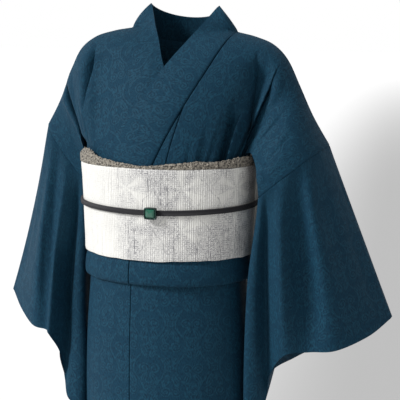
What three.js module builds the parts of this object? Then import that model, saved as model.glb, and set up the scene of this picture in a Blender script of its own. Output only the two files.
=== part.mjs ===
// A woman's kimono as it is worn, with its sash, sash scarf, sash cord and clasp.
// Millimetres, +Z up, the wearer faces -Y and the wearer's left is +X.
// The origin lies on the wearer's axis, level with the points where the collar meets the shoulders.
//
// Every piece of cloth is a sheet of quads worked out from sizes and short tables, given a wall's thickness.
import * as THREE from "three";

// ---------------------------------------------------------------- driving dimensions
const CLOTH = 1.4; // wall of the kimono cloth
const COLLAR_WALL = 2; // the collar is folded double
const SASH_WALL = 4; // two turns of the sash
const BAND_WALL = 3; // the sash folded double, in its knot
const SEAM = 0.35; // clear between two pieces at a seam
const OVERLAP = 3.6; // the left front lies this far outside the right front

const SASH_TOP = -216.5;
const SASH_BOTTOM = -367;
const SASH_IN = 10.6; // inner face of the sash, out from the figure
const BODY_END = -258; // the bodice ends here, under the sash
const BODY_OFF = 4.4; // inner face of the right front there, out from the figure
const SKIRT_TOP = -348;
const FOLD_BOTTOM = -409.5; // lower edge of the waist fold
const HEM = -1312;

const NECK = { x: 94, y: 60, z: 4 }; // where the collar seam crosses the shoulder
const NAPE = { y: 118, z: -20 }; // the collar seam at the centre back
const COLLAR_EDGE = { x: 60, z: 47, napeY: 106, napeZ: 25 }; // folded upper edge of the collar
const COLLAR_END = { seam: -12, edge: -108 }; // x of the collar's two edges where it goes under the sash
const COLLAR_CROSS = { y: -43, z: -57 }; // where the two folded edges cross below the throat
const COLLAR_TUCK = { from: -40, over: 110, depth: 20 }; // the right collar goes deeper under the left front
const GUSSET_TIP = { z: -116, bend: -15.5 }; // where the front gusset's seam leaves the collar
const GUSSET_X = 20; // x of the gusset seam under the sash

const LEAN = { x: 12, tilt: 0.035, from: -215, to: -20 }; // the shoulders lean to the wearer's left

const UNDERARM = { x: 168, y: 80, z: -262 }; // behind the arm
const PRESS = { from: -178, over: 22 }; // the scarf and the sash press the bodice flat below here
const KNEE_Z = -203; // at the sides the bodice hangs straight down from here

// The two halves: the sleeve seam's end on the crest, how much lower the sleeve's end is, the front of the
// underarm, how the sleeve's outline and the collar's edge bow, how far out the front lies, how far across the
// front follows the chest, and how much fuller it is next to the shoulder.
const LEFT = {
  side: 1, kinkX: 266, kinkZ: -186, drop: 0, underX: 174, underY: -60, bow: 0, collarBow: -8, lift: OVERLAP,
  chestTo: 0.4, rise: 0,
};
const RIGHT = {
  side: -1, kinkX: 243, kinkZ: -166, drop: 4, underX: 162, underY: 25, bow: -6, collarBow: 2, lift: 0,
  chestTo: 0.28, rise: 15,
};

// Angles round the figure, in degrees from the front towards the wearer's left.
const FRONT_EDGE = -82;
const GUSSET_SEAM = -14;
const LEFT_SIDE = 90;
const RIGHT_SIDE = -90;
const UNDERLAP_EDGE = 66;
const BACK = 180;

// ---------------------------------------------------------------- tables
// The general figure inside the clothes: half width, depth in front and depth behind.
const FIGURE = [
  { z: -215, wide: 137, front: 98.5, back: 100 },
  { z: -290, wide: 135, front: 98.5, back: 100 },
  { z: -360, wide: 132.5, front: 98.5, back: 101 },
  { z: -410, wide: 134, front: 101, back: 107 },
  { z: -500, wide: 141, front: 105, back: 119 },
  { z: -620, wide: 145, front: 107, back: 121 },
  { z: -800, wide: 142, front: 105, back: 113 },
  { z: -1000, wide: 135, front: 100, back: 102 },
  { z: -1200, wide: 128, front: 94, back: 94 },
  { z: -1312, wide: 124, front: 91, back: 91 },
];

// The crest of the shoulder and upper arm, from the collar out to the sleeve seam.
const CREST = [
  { at: 0, x: 94, y: 60, z: 4 },
  { at: 0.2, x: 128, y: 58, z: -3 },
  { at: 0.38, x: 160, y: 52, z: -15 },
  { at: 0.52, x: 184, y: 46, z: -37 },
  { at: 0.66, x: 206, y: 43, z: -77 },
  { at: 0.83, x: 232, y: 47, z: -128 },
  { at: 1, x: 262, y: 55, z: -178 },
];

// The bodice's lower edge from the side of the sash, up over the scarf and out to the underarm.
const FRONT_EDGE_OUT = [
  { at: 0.6, out: 0, x: 136, y: -28, z: -203 },
  { at: 0.65, out: 0, x: 141, y: -27, z: -196 },
  { at: 0.7, out: 0.2, x: 153, y: -31, z: -194 },
  { at: 0.78, out: 0.6, x: 164, y: -46, z: -211 },
  { at: 0.88, out: 0.9, x: 170, y: -57, z: -232 },
  { at: 1, out: 1, x: 174, y: -60, z: -262 },
];
const BACK_EDGE_OUT = [
  { at: 0.6, out: 0, x: 125, y: 49, z: -203 },
  { at: 0.65, out: 0, x: 138, y: 55, z: -192 },
  { at: 0.7, out: 0, x: 150, y: 61, z: -188 },
  { at: 0.78, out: 0, x: 158, y: 66, z: -196 },
  { at: 0.88, out: 0, x: 164, y: 74, z: -225 },
  { at: 1, out: 0, x: 168, y: 80, z: -262 },
];

// Folds of the bodice: place across, depth inwards, width across, and how far down each starts.
const FRONT_FOLDS = {
  1: [
    { at: 0.575, depth: 12, width: 0.07, from: 0.1 },
    { at: 0.34, depth: 7, width: 0.045, from: 0.4 },
    { at: 0.44, depth: 9, width: 0.045, from: 0.35 },
    { at: 0.22, depth: 3, width: 0.03, from: 0.55 },
    { at: 0.8, depth: 5, width: 0.06, from: 0.2 },
  ],
  "-1": [
    { at: 0.7, depth: 9, width: 0.06, from: 0.1 },
    { at: 0.45, depth: 6, width: 0.04, from: 0.5 },
    { at: 0.8, depth: 4, width: 0.06, from: 0.25 },
  ],
};
const CHEST_RISE = { at: 0.36, width: 0.085, grown: 0.17, fading: 0.35, over: 0.45 };
const BACK_FOLDS = [
  { at: 0.56, depth: 9, width: 0.09, from: 0.1 },
  { at: 0.34, depth: 5, width: 0.05, from: 0.45 },
  { at: 0.45, depth: 4, width: 0.05, from: 0.4 },
];

// The sleeve, one row for each line that runs down it: where it starts on the armhole (0 at the top, 1 at the
// underarm), where it ends on the lower edge, and how far it bows sideways and forwards on the way.
const SLEEVE_FRONT = [
  { armhole: 1.5, x: 159, y: 44, z: -626, bowX: 2, bowY: 34, join: 5 },
  { armhole: 1.25, x: 160, y: 4, z: -641, bowX: 0, bowY: 4, join: 4 },
  { armhole: 1.06, x: 155, y: -50, z: -652, bowX: -4, bowY: -8, join: 3 },
  { armhole: 0.97, x: 178, y: -47, z: -642, bowX: -2, bowY: -10, join: 2 },
  { armhole: 0.92, x: 188, y: -36, z: -606, bowX: 0, bowY: 6, join: 1 },
  { armhole: 0.86, x: 196, y: -40, z: -560, bowX: 2, bowY: -6, join: 0 },
  { armhole: 0.74, x: 221, y: -60, z: -524, bowX: 0, bowY: -14 },
  { armhole: 0.58, x: 258, y: -42, z: -521, bowX: 0, bowY: 8 },
  { armhole: 0.42, x: 302, y: -38, z: -516, bowX: 0, bowY: -14 },
  { armhole: 0.22, x: 348, y: 4, z: -499, bowX: 0, bowY: -4 },
  { armhole: 0.06, x: 374, y: 50, z: -481, bowX: 0, bowY: 0 },
];
// Where the right sleeve's lower end lies for each x of the left one: it hangs closer and is seen narrower.
const RIGHT_END = [
  { x: 155, to: 151, y: 8 },
  { x: 158, to: 152, y: 4 },
  { x: 160, to: 152, y: 2 },
  { x: 178, to: 178, y: 2 },
  { x: 196, to: 193, y: 0 },
  { x: 221, to: 203, y: 0 },
  { x: 258, to: 214, y: 0 },
  { x: 302, to: 240, y: 0 },
  { x: 348, to: 280, y: 0 },
  { x: 374, to: 314, y: 0 },
  { x: 378, to: 322, y: 0 },
];
// `right` is how much further back the right sleeve's lower end lies.
const SLEEVE_CREST = { armhole: 0, x: 378, y: 62, z: -477, bowX: 0, bowY: 0 };
const SLEEVE_BACK = [
  { armhole: 0.06, x: 374, y: 74, z: -482, bowX: 0, bowY: 0 },
  { armhole: 0.24, x: 346, y: 104, z: -505, bowX: 0, bowY: 8, right: 8 },
  { armhole: 0.45, x: 296, y: 108, z: -528, bowX: 0, bowY: 6, right: 14 },
  { armhole: 0.66, x: 244, y: 88, z: -548, bowX: 0, bowY: 22, right: 12 },
  { armhole: 0.76, x: 215, y: 40, z: -556, bowX: 2, bowY: 40 },
  { armhole: 0.83, bowX: 8, bowY: 70, join: 0 },
  { armhole: 0.88, bowX: 10, bowY: 66, join: 1 },
  { armhole: 0.92, bowX: 13, bowY: 68, join: 2 },
  { armhole: 0.96, bowX: 18, bowY: 65, join: 3 },
  { armhole: 1, bowX: 14, bowY: 34, join: 4 },
];
const SLEEVE_CLOSED = 0.55; // below this share of its length the sleeve's inner edge is sewn shut

// The waist fold's path, out from the figure and down: up inside, round the bottom and up outside.
const FOLD_PATH = [
  { off: 6.1, z: -350 },
  { off: 6.2, z: -396 },
  { off: 7.2, z: -407 },
  { off: 9.6, z: -409.5 },
  { off: 12, z: -404.5 },
  { off: 12.6, z: -392 },
  { off: 11.2, z: -378 },
  { off: 9.2, z: -369 },
  { off: 9.1, z: -350 },
];

// The scarf's path along the top of the sash, from the front round to the pad behind the knot.
const SCARF = [
  { x: 0, y: -111.7, z: -215, thick: 2.6, high: 6.5 },
  { x: 47, y: -105.5, z: -215, thick: 2.8, high: 8 },
  { x: 92, y: -87, z: -215, thick: 3, high: 10.5 },
  { x: 126, y: -59.5, z: -215, thick: 3.2, high: 13 },
  { x: 147, y: -24, z: -215, thick: 3.4, high: 14.5 },
  { x: 150.5, y: 14, z: -215, thick: 3.6, high: 15 },
  { x: 143, y: 58, z: -214, thick: 5, high: 17 },
  { x: 130, y: 100, z: -209, thick: 9, high: 24 },
  { x: 104, y: 127, z: -203, thick: 16, high: 28 },
  { x: 60, y: 135, z: -202, thick: 20, high: 29 },
  { x: 0, y: 136, z: -202, thick: 21, high: 29 },
];
const SCARF_UNDER = 0.08; // the scarf is flat below: share of its height under its centre line

// The sash's knot seen from the side: the drum's path over the pad, down, round its fold and up inside.
const DRUM_WIDE = 142;
const DRUM = [
  { y: 122, z: -170.5 },
  { y: 136, z: -165.5 },
  { y: 151, z: -169.5 },
  { y: 163, z: -184 },
  { y: 171, z: -214 },
  { y: 179, z: -262 },
  { y: 183, z: -320 },
  { y: 182, z: -385 },
  { y: 177, z: -426 },
  { y: 166, z: -440 },
  { y: 153, z: -434 },
  { y: 140, z: -405 },
  { y: 132, z: -370 },
  { y: 130.4, z: -314 },
];
const TAIL_WIDE = 140;
const TAIL = [
  { y: 123.5, z: -300 },
  { y: 123.5, z: -372 },
  { y: 126, z: -440 },
  { y: 131, z: -516 },
];
const HAND_WIDE = 151;
const HAND = [
  { y: 127.1, z: -250 },
  { y: 127.1, z: -378 },
];

// The cord's path round the sash and through the knot.
const CORD_HIGH = 9;
const CORD_THICK = 3.8;
const CORD_CLEAR = 0.7;
const CORD_Z = { front: -287, side: -283, back: -290 };
const CORD_BACK = [
  { x: 152.9, y: 14 },
  { x: 153.4, y: 60 },
  { x: 155, y: 100 },
  { x: 156.2, y: 121 },
  { x: 153.5, y: 130 },
  { x: 141, y: 132 },
  { x: 80, y: 132 },
  { x: 0, y: 132 },
];

const CLASP = { x: 8, z: -287, wide: 22, high: 20, deep: 6, rim: 2.6, corner: 4 };

// ---------------------------------------------------------------- number helpers
const mix = (a, b, t) => a + (b - a) * t;
const clamp = (t) => Math.min(1, Math.max(0, t));
const ease = (t) => clamp(t) ** 2 * (3 - 2 * clamp(t));
const radians = (degrees) => (degrees * Math.PI) / 180;

// A smooth curve through a table: `key` names the column that rises or falls, the others are interpolated.
function lookUp(rows, key, value) {
  const falling = rows[0][key] > rows[rows.length - 1][key];
  const ahead = (row) => (falling ? row[key] < value : row[key] > value);
  let i = rows.findIndex(ahead);
  i = i < 0 ? rows.length - 2 : Math.min(Math.max(i - 1, 0), rows.length - 2);
  const [a, b] = [rows[i], rows[i + 1]];
  const span = b[key] - a[key];
  const t = clamp((value - a[key]) / span);
  const slope = (p, q, column) => (q[column] - p[column]) / (q[key] - p[key]);
  const found = {};
  for (const column of Object.keys(a)) {
    const here = slope(a, b, column);
    const before = i > 0 ? (slope(rows[i - 1], a, column) + here) / 2 : here;
    const after = i + 2 < rows.length ? (slope(b, rows[i + 2], column) + here) / 2 : here;
    const [t2, t3] = [t * t, t * t * t];
    found[column] =
      (2 * t3 - 3 * t2 + 1) * a[column] + (t3 - 2 * t2 + t) * span * before +
      (3 * t2 - 2 * t3) * b[column] + (t3 - t2) * span * after;
  }
  return found;
}

// A table's rows as a path with `steps` steps between rows, smoothed through every row.
function smoothPath(rows, steps) {
  const numbered = rows.map((row, i) => ({ ...row, row: i }));
  const count = (rows.length - 1) * steps;
  return Array.from({ length: count + 1 }, (_, i) => lookUp(numbered, "row", i / steps));
}

// ---------------------------------------------------------------- sheets and walls
// A sheet is { points, quads }. A grid's faces look along (change over columns) x (change over rows).
function grid(columns, rows, place, flip = false) {
  const points = [];
  const quads = [];
  for (let i = 0; i <= columns; i += 1) {
    for (let j = 0; j <= rows; j += 1) points.push(place(i, j));
  }
  const at = (i, j) => i * (rows + 1) + j;
  for (let i = 0; i < columns; i += 1) {
    for (let j = 0; j < rows; j += 1) {
      const quad = [at(i, j), at(i + 1, j), at(i + 1, j + 1), at(i, j + 1)];
      quads.push(flip ? quad.reverse() : quad);
    }
  }
  return { points, quads };
}

// Joins sheets into one wherever their points coincide.
function weld(...sheets) {
  const points = [];
  const quads = [];
  const seen = new Map();
  for (const sheet of sheets) {
    const renamed = sheet.points.map((p) => {
      const name = p.map((c) => Math.round(c * 50)).join();
      if (!seen.has(name)) {
        seen.set(name, points.length);
        points.push(p);
      }
      return seen.get(name);
    });
    quads.push(...sheet.quads.map((quad) => quad.map((i) => renamed[i])));
  }
  return { points, quads };
}

// The direction to move each point in, longer at a sharp fold so that the wall keeps its thickness there.
const SHARPEST = 0.45;
function normalsOf({ points, quads }) {
  const normals = points.map(() => new THREE.Vector3());
  const facing = points.map(() => []);
  const corner = (i) => new THREE.Vector3(...points[i]);
  for (const [a, b, c, d] of quads) {
    const face = corner(c).sub(corner(a)).cross(corner(d).sub(corner(b)));
    for (const i of new Set([a, b, c, d])) {
      normals[i].add(face);
      facing[i].push(face.clone().normalize());
    }
  }
  return normals.map((normal, i) => {
    normal.normalize();
    const along = facing[i].reduce((sum, face) => sum + face.dot(normal), 0) / facing[i].length;
    return normal.divideScalar(Math.max(SHARPEST, along));
  });
}

// Each quad is cut along its shorter diagonal.
function trianglesOf({ points, quads }) {
  const apart = (i, j) => Math.hypot(...points[i].map((c, k) => c - points[j][k]));
  const triangles = quads.flatMap(([a, b, c, d]) => {
    return apart(a, c) <= apart(b, d) ? [[a, b, c], [a, c, d]] : [[b, c, d], [b, d, a]];
  });
  return triangles.filter(([a, b, c]) => a !== b && b !== c && c !== a);
}

function geometryOf(points, triangles) {
  const geometry = new THREE.BufferGeometry();
  geometry.setAttribute("position", new THREE.Float32BufferAttribute(points.flat(), 3));
  geometry.setIndex(triangles.flat());
  geometry.computeVertexNormals();
  return geometry;
}

// A sheet with a wall's thickness: its faces lie `inside` and `outside` along the sheet's own normals.
function wall(sheet, inside, outside) {
  const normals = normalsOf(sheet);
  const count = sheet.points.length;
  const moved = (by) => sheet.points.map((p, i) => p.map((c, k) => c + normals[i].getComponent(k) * by));
  const outer = trianglesOf(sheet);
  const inner = outer.map(([a, b, c]) => [a + count, c + count, b + count]);
  const sides = new Map();
  for (const [a, b, c] of outer) {
    for (const [from, to] of [[a, b], [b, c], [c, a]]) {
      if (!sides.delete(`${to},${from}`)) sides.set(`${from},${to}`, [from, to]);
    }
  }
  const rim = [...sides.values()].flatMap(([a, b]) => [[b, a, a + count], [b, a + count, b + count]]);
  return geometryOf([...moved(outside), ...moved(inside)], [...outer, ...inner, ...rim]);
}

// ---------------------------------------------------------------- the figure
const figureAt = (z) => lookUp(FIGURE, "z", z);

function round(angle, z, off) {
  const { wide, front, back } = figureAt(z);
  const a = radians(angle);
  const deep = Math.cos(a) > 0 ? front : back;
  return [(wide + off) * Math.sin(a), -(deep + off) * Math.cos(a), z];
}

// The shoulders lean a little to the wearer's left.
function lean([x, y, z]) {
  const share = ease((z - LEAN.from) / (LEAN.to - LEAN.from));
  return [x + LEAN.x * share, y, z - LEAN.tilt * x * share];
}

// Depth of the chest, y, at a point of the front view: a quarter ellipse from the shoulder down to the sash.
function chest(x, z) {
  const down = clamp((NECK.z - z) / (NECK.z - BODY_END));
  const { wide, front } = figureAt(BODY_END);
  const across = clamp(Math.abs(x) / (wide + BODY_OFF));
  const bottom = -(front + BODY_OFF) * Math.sqrt(1 - across ** 2);
  return mix(NECK.y, bottom, Math.sqrt(1 - (1 - down) ** 2));
}

// ---------------------------------------------------------------- bodice
function crest(half, u) {
  const p = lookUp(CREST, "at", u);
  const arm = ease((u - 0.4) / 0.6);
  const last = CREST[CREST.length - 1];
  return [p.x + (half.kinkX - last.x) * arm, p.y, p.z + (half.kinkZ - last.z) * arm];
}

// A rib runs from a point of the shoulder's crest to a point of the lower edge, on a quarter ellipse.
function rib(top, bottom, turn, full) {
  const drop = 1 - Math.cos(turn);
  const out = Math.sin(turn) ** full;
  return [mix(top[0], bottom[0], drop), mix(top[1], bottom[1], out), mix(top[2], bottom[2], drop)];
}

const SIDE_AT = 0.6; // place of the rib that ends at the side of the sash
const SIDE_FRONT = 74; // degrees
const SIDE_BACK = 118;

// Each rib's knee, below which it hangs straight: none beside the collar, highest at the side of the sash.
function kneeOf(u) {
  const weight = ease((u - 0.3) / 0.25) * (u > SIDE_AT ? 0 : 1);
  return { z: mix(BODY_END, KNEE_Z, weight), share: mix(1, 1 - 2 / TURNS, weight) };
}

// Where a rib's row lies: its turn on the quarter ellipse, and how far it hangs below the knee.
function rowAt(u, row) {
  const { share } = kneeOf(u);
  const t = row / TURNS;
  return { turn: clamp(t / share) * (Math.PI / 2), hang: share < 1 ? clamp((t - share) / (1 - share)) : 0 };
}

function foldDepth(folds, u, down) {
  return folds.reduce((sum, fold) => {
    const share = Math.exp(-(((u - fold.at) / fold.width) ** 2));
    return sum + fold.depth * share * ease((down - fold.from) / (0.85 - fold.from));
  }, 0);
}

// How full the front is next to the shoulder: a bell across, soft at both ends on the way down.
function chestRise(u, down) {
  const across = Math.exp(-(((u - CHEST_RISE.at) / CHEST_RISE.width) ** 2));
  return across * ease(down / CHEST_RISE.grown) * (1 - ease((down - CHEST_RISE.fading) / CHEST_RISE.over));
}

function underarm(half, front) {
  return [front ? half.underX : UNDERARM.x, front ? half.underY : UNDERARM.y, UNDERARM.z];
}

function edgeOut(half, table, u) {
  const p = lookUp(table, "at", u);
  return [p.x + (half.underX - LEFT.underX) * p.out, p.y + (half.underY - LEFT.underY) * p.out, p.z];
}

// Pulls what lies under the scarf and the sash back to `off` from the figure.
function pressed([x, y, z], off) {
  const { wide, front, back } = figureAt(z);
  const reach = Math.hypot(x / (wide + off), y / ((y < 0 ? front : back) + off));
  const pull = ease((PRESS.from - z) / PRESS.over) * Math.max(0, 1 - 1 / reach);
  return [x * (1 - pull), y * (1 - pull), z];
}

const armFullness = (u) => mix(1, 0.8, ease((u - 0.5) / 0.4));

function frontRib(half, u, turn, hang = 0) {
  const gusset = half === LEFT;
  const first = Math.asin((gusset ? GUSSET_X : COLLAR_END.seam) / 141);
  const knee = kneeOf(u).z;
  const bottom = u <= SIDE_AT
    ? round(mix((first * 180) / Math.PI, SIDE_FRONT, u / SIDE_AT), knee, BODY_OFF)
    : edgeOut(half, FRONT_EDGE_OUT, u);
  const p = rib(crest(half, u), bottom, turn, armFullness(u));
  const down = 1 - Math.cos(turn);
  p[2] = mix(p[2], BODY_END, hang);
  if (gusset) {
    const tip = (NECK.z - GUSSET_TIP.z) / (NECK.z - BODY_END);
    const bend = down < tip ? down / tip : (1 - down) / (1 - tip);
    p[0] += GUSSET_TIP.bend * bend * (1 - ease(u / 0.35));
  }
  const torso = (1 - ease((u - half.chestTo) / 0.2)) * ease(down / 0.25);
  p[1] = mix(p[1], chest(p[0], p[2]), torso);
  p[1] += foldDepth(FRONT_FOLDS[half.side], u, down) - half.rise * chestRise(u, down);
  const lift = half.lift * ease(down / 0.2) * (1 - ease((u - 0.4) / 0.15));
  p[1] -= lift;
  return u > SIDE_AT ? p : pressed(p, BODY_OFF + lift);
}

// The seam line round the neck, 0 at the left shoulder, 180 at the right one.
function neckSeam(angle) {
  const a = radians(angle);
  return [NECK.x * Math.cos(a), mix(NECK.y, NAPE.y, Math.sin(a)), mix(NECK.z, NAPE.z, Math.sin(a))];
}

// The bodice's own edge round the neck, just below the collar.
function belowCollar(angle) {
  const seam = neckSeam(angle);
  const edge = collarNape(angle, 1);
  const away = new THREE.Vector3(...seam).sub(new THREE.Vector3(...edge)).setLength(SEAM + 0.8);
  return [seam[0] + away.x, seam[1] + away.y, seam[2] + away.z];
}

function backRib(half, top, u, turn, hang) {
  const bottom = u <= SIDE_AT
    ? round(mix(BACK, SIDE_BACK, u / SIDE_AT), kneeOf(u).z, BODY_OFF)
    : edgeOut(half, BACK_EDGE_OUT, u);
  const p = rib(top, bottom, turn, armFullness(u));
  const down = 1 - Math.cos(turn);
  p[2] = mix(p[2], BODY_END, hang);
  p[1] += 9 * Math.sin(Math.PI * down) * (1 - ease((u - 0.35) / 0.25));
  p[1] -= foldDepth(BACK_FOLDS, u, down);
  return u > SIDE_AT ? p : pressed(p, BODY_OFF);
}

// Places across of the ribs, from the collar to the sleeve seam, closest round the fold at the armpit.
const RIB_AT = [0, 0.09, 0.18, 0.27, 0.34, 0.4, 0.45, 0.5, 0.54, 0.57, 0.6, 0.65, 0.7, 0.78, 0.88, 1];
const RIBS = RIB_AT.length - 1;
const NECK_RIBS = 4; // columns from the centre back to the shoulder
const NECK_SHARE = 0.2; // share of the back's width that hangs from the neck
const TURNS = 11; // rows from the crest to the sash

function bodicePoint(half, point) {
  const [x, y, z] = point;
  return lean([x * half.side, y, z]);
}

function bodice(half) {
  const outward = half.side < 0;
  const clearOfCollar = (p, u, down) => {
    const by = 2 * SEAM + 2.8 * (1 - ease(down / 0.7));
    return [p[0] + by * (1 - ease(u / 0.2)), p[1], p[2] - by * 0.4 * (1 - ease(down / 0.1))];
  };
  const front = grid(RIBS, TURNS, (i, j) => {
    const u = RIB_AT[i];
    const { turn, hang } = rowAt(u, j);
    return bodicePoint(half, clearOfCollar(frontRib(half, u, turn, hang), u, 1 - Math.cos(turn)));
  }, !outward);
  const back = grid(NECK_RIBS + RIBS, TURNS, (i, j) => {
    const onNeck = i < NECK_RIBS;
    const angle = 90 - (90 * i) / NECK_RIBS;
    const u = onNeck ? 0 : RIB_AT[i - NECK_RIBS];
    const spread = onNeck ? (NECK_SHARE * i) / NECK_RIBS : NECK_SHARE + (1 - NECK_SHARE) * u;
    const top = onNeck ? belowCollar(angle) : clearOfCollar(crest(half, u), u, 0);
    const { turn, hang } = rowAt(spread, j);
    const p = backRib(half, top, spread, turn, hang);
    p[0] = Math.max(p[0], SEAM / 2);
    return bodicePoint(half, p);
  }, outward);
  return weld(front, back);
}

// The left gusset between the collar seam and its own seam, above the sash.
function gusset() {
  const top = GUSSET_TIP.z - 22;
  return grid(2, 6, (i, j) => {
    const z = mix(top, BODY_END, j / 6);
    const down = (NECK.z - z) / (NECK.z - BODY_END);
    const collarX = mix(NECK.x, COLLAR_END.seam, down) + 2 * SEAM;
    const body = frontRibX(z) - SEAM;
    const x = mix(collarX, body, i / 2);
    return lean([x, chest(x, z) - OVERLAP, z]);
  }, true);
}

// x of the left front's inner edge, on the gusset seam.
function frontRibX(z) {
  const down = (NECK.z - z) / (NECK.z - BODY_END);
  return frontRib(LEFT, 0, Math.acos(1 - down))[0];
}

// ---------------------------------------------------------------- collar
const COLLAR_FRONT = 14; // rows down each front
const COLLAR_BACK = 12; // rows round the nape
const COLLAR_ACROSS = 3;

// Beside the neck the folded edge comes forward in a straight line; below the crossing it lies on the chest.
function collarDepth(x, z, across) {
  const onChest = chest(x, z);
  const straight = mix(NECK.y, COLLAR_CROSS.y, (COLLAR_EDGE.z - z) / (COLLAR_EDGE.z - COLLAR_CROSS.z));
  return z > COLLAR_CROSS.z ? mix(onChest, Math.min(onChest, straight), across) : onChest;
}

// A point of the band: `down` runs from the shoulder to the sash, `across` from the seam to the folded edge.
function collarFront(half, down, across) {
  const seam = [mix(NECK.x, COLLAR_END.seam, down), mix(NECK.z, BODY_END, down)];
  const edge = [mix(COLLAR_EDGE.x, COLLAR_END.edge, down), mix(COLLAR_EDGE.z, BODY_END, down)];
  const x = mix(seam[0], edge[0], across) + half.collarBow * across * 4 * down * (1 - down);
  const z = mix(seam[1], edge[1], across);
  const tuck = half === RIGHT ? COLLAR_TUCK.depth * ease((-x - COLLAR_TUCK.from) / COLLAR_TUCK.over) : 0;
  const y = collarDepth(x, z, across) + tuck - half.lift * ease(down / 0.2);
  return bodicePoint(half, pressed([x, y, z], BODY_OFF + half.lift));
}

function collarNape(angle, across) {
  const a = radians(angle);
  const seam = neckSeam(angle);
  const edge = [
    COLLAR_EDGE.x * Math.cos(a),
    mix(NECK.y, COLLAR_EDGE.napeY, Math.sin(a)),
    mix(COLLAR_EDGE.z, COLLAR_EDGE.napeZ, Math.sin(a)),
  ];
  return seam.map((c, k) => mix(c, edge[k], across));
}

function collar() {
  const rows = 2 * COLLAR_FRONT + COLLAR_BACK;
  return grid(rows, COLLAR_ACROSS, (i, j) => {
    const across = j / COLLAR_ACROSS;
    if (i <= COLLAR_FRONT) return collarFront(LEFT, 1 - i / COLLAR_FRONT, across);
    const past = i - COLLAR_FRONT - COLLAR_BACK;
    if (past <= 0) return lean(collarNape(((i - COLLAR_FRONT) / COLLAR_BACK) * 180, across));
    return collarFront(RIGHT, past / COLLAR_FRONT, across);
  });
}

// ---------------------------------------------------------------- sleeves
// The armhole: 0 at the crest, 1 at the underarm, and a little beyond it along the body.
function armhole(half, share, front) {
  const p = rib(crest(half, 1), underarm(half, front), clamp(share) * (Math.PI / 2), armFullness(1));
  const beyond = Math.max(0, share - 1);
  return [p[0] - beyond * 6, p[1] + beyond * 44 * (front ? 1 : -1), p[2] - beyond * 4];
}

// A sleeve's lower end on this half.
function lowerEnd(half, row) {
  if (half === LEFT) return [row.x, row.y, row.z];
  const end = lookUp(RIGHT_END, "x", row.x);
  return [end.to, row.y + end.y + (row.right ?? 0), row.z + half.drop];
}

const SLEEVE_ROWS = 9;
const SEAM_SHARE = 0.0072; // share of a line's length left clear at the armhole

function sleeveLine(half, row, front, t) {
  const top = armhole(half, row.armhole, front);
  const end = lowerEnd(half, row.x === undefined ? SLEEVE_FRONT[5 - row.join] : row);
  const bow = 4 * t * (1 - t);
  const started = mix(SEAM_SHARE, 1, t);
  const p = top.map((c, k) => mix(c, end[k], started));
  const outline = half.bow * clamp((row.armhole - 0.5) / -0.5);
  return [p[0] + (row.bowX + outline) * bow, p[1] + row.bowY * bow, p[2]];
}

// The inner edge of the sleeve's back: open below the underarm, then sewn to the front's inner edge.
function innerBack(half, t) {
  const sewn = sleeveLine(half, SLEEVE_FRONT[0], true, Math.max(t, SLEEVE_CLOSED));
  if (t >= SLEEVE_CLOSED) return sewn;
  const top = armhole(half, 1.05, false);
  const share = t / SLEEVE_CLOSED;
  return [
    mix(top[0], sewn[0], share),
    mix(top[1], sewn[1], ease(share)) + 10 * Math.sin(Math.PI * share),
    mix(top[2], sewn[2], share),
  ];
}

function sleeve(half) {
  const lines = [
    ...SLEEVE_FRONT.map((row) => (t) => sleeveLine(half, row, true, t)),
    (t) => sleeveLine(half, SLEEVE_CREST, true, t),
    ...SLEEVE_BACK.map((row) => (t) => sleeveLine(half, row, false, t)),
    (t) => innerBack(half, t),
  ];
  const between = 2;
  const columns = (lines.length - 1) * between;
  const levels = Array.from({ length: SLEEVE_ROWS + 1 }, (_, j) => j / SLEEVE_ROWS);
  levels.splice(levels.findIndex((t) => t > SLEEVE_CLOSED), 0, SLEEVE_CLOSED);
  const sections = levels.map((t) => {
    const rows = lines.map((line, row) => ({ row, x: line(t)[0], y: line(t)[1], z: line(t)[2] }));
    return Array.from({ length: columns + 1 }, (_, i) => {
      const p = lookUp(rows, "row", i / between);
      return bodicePoint(half, [p.x, p.y, p.z]);
    });
  });
  zipLowerEdge(sections[sections.length - 1], between);
  return weld(grid(columns, levels.length - 1, (i, j) => sections[j][i], half.side > 0));
}

// The sewn part of the lower edge: the back's points are laid on the front's.
function zipLowerEdge(section, between) {
  const last = section.length - 1;
  const sewn = 5 * between;
  for (let i = 0; i <= sewn; i += 1) section[last - i] = [...section[i]];
}

// ---------------------------------------------------------------- skirt and waist fold
// A panel round the figure between two angles. `off` gives the inner face, out from the figure.
function skirtPanel(from, to, columns, rows, off, hem) {
  return grid(columns, rows, (i, j) => {
    const angle = mix(from, to, i / columns);
    const z = mix(SKIRT_TOP, hem(angle), (j / rows) ** 1.4);
    return round(angle, z, off(angle) + skirtFold(angle, z));
  }, true);
}

// Soft upright folds that deepen towards the hem.
const SKIRT_FOLDS = [
  { angle: 48, depth: 3, width: 9 },
  { angle: 72, depth: 4, width: 8 },
  { angle: 128, depth: 4, width: 12 },
  { angle: -128, depth: 4, width: 12 },
  { angle: 165, depth: 2, width: 9 },
];

function skirtFold(angle, z) {
  const down = ease((z - FOLD_BOTTOM) / (HEM - FOLD_BOTTOM) / 0.8);
  const wrapped = angle > BACK ? angle - 360 : angle;
  return -SKIRT_FOLDS.reduce((sum, fold) => {
    return sum + fold.depth * down * Math.exp(-(((wrapped - fold.angle) / fold.width) ** 2));
  }, 0);
}

// The wrapped front lies outside the underlap and joins the back at the left side.
const outerOff = (angle) => 2.6 * (1 - ease((angle - UNDERLAP_EDGE - 4) / (LEFT_SIDE - UNDERLAP_EDGE - 8)));
const levelHem = () => HEM;
const frontHem = (angle) => HEM + 34 * (1 - ease((angle - FRONT_EDGE) / 60)) ** 2;
const underHem = (angle) => HEM + 6 + 40 * ease((angle - 10) / 50);
const gap = 0.15; // degrees, about SEAM at the figure's radius

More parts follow.
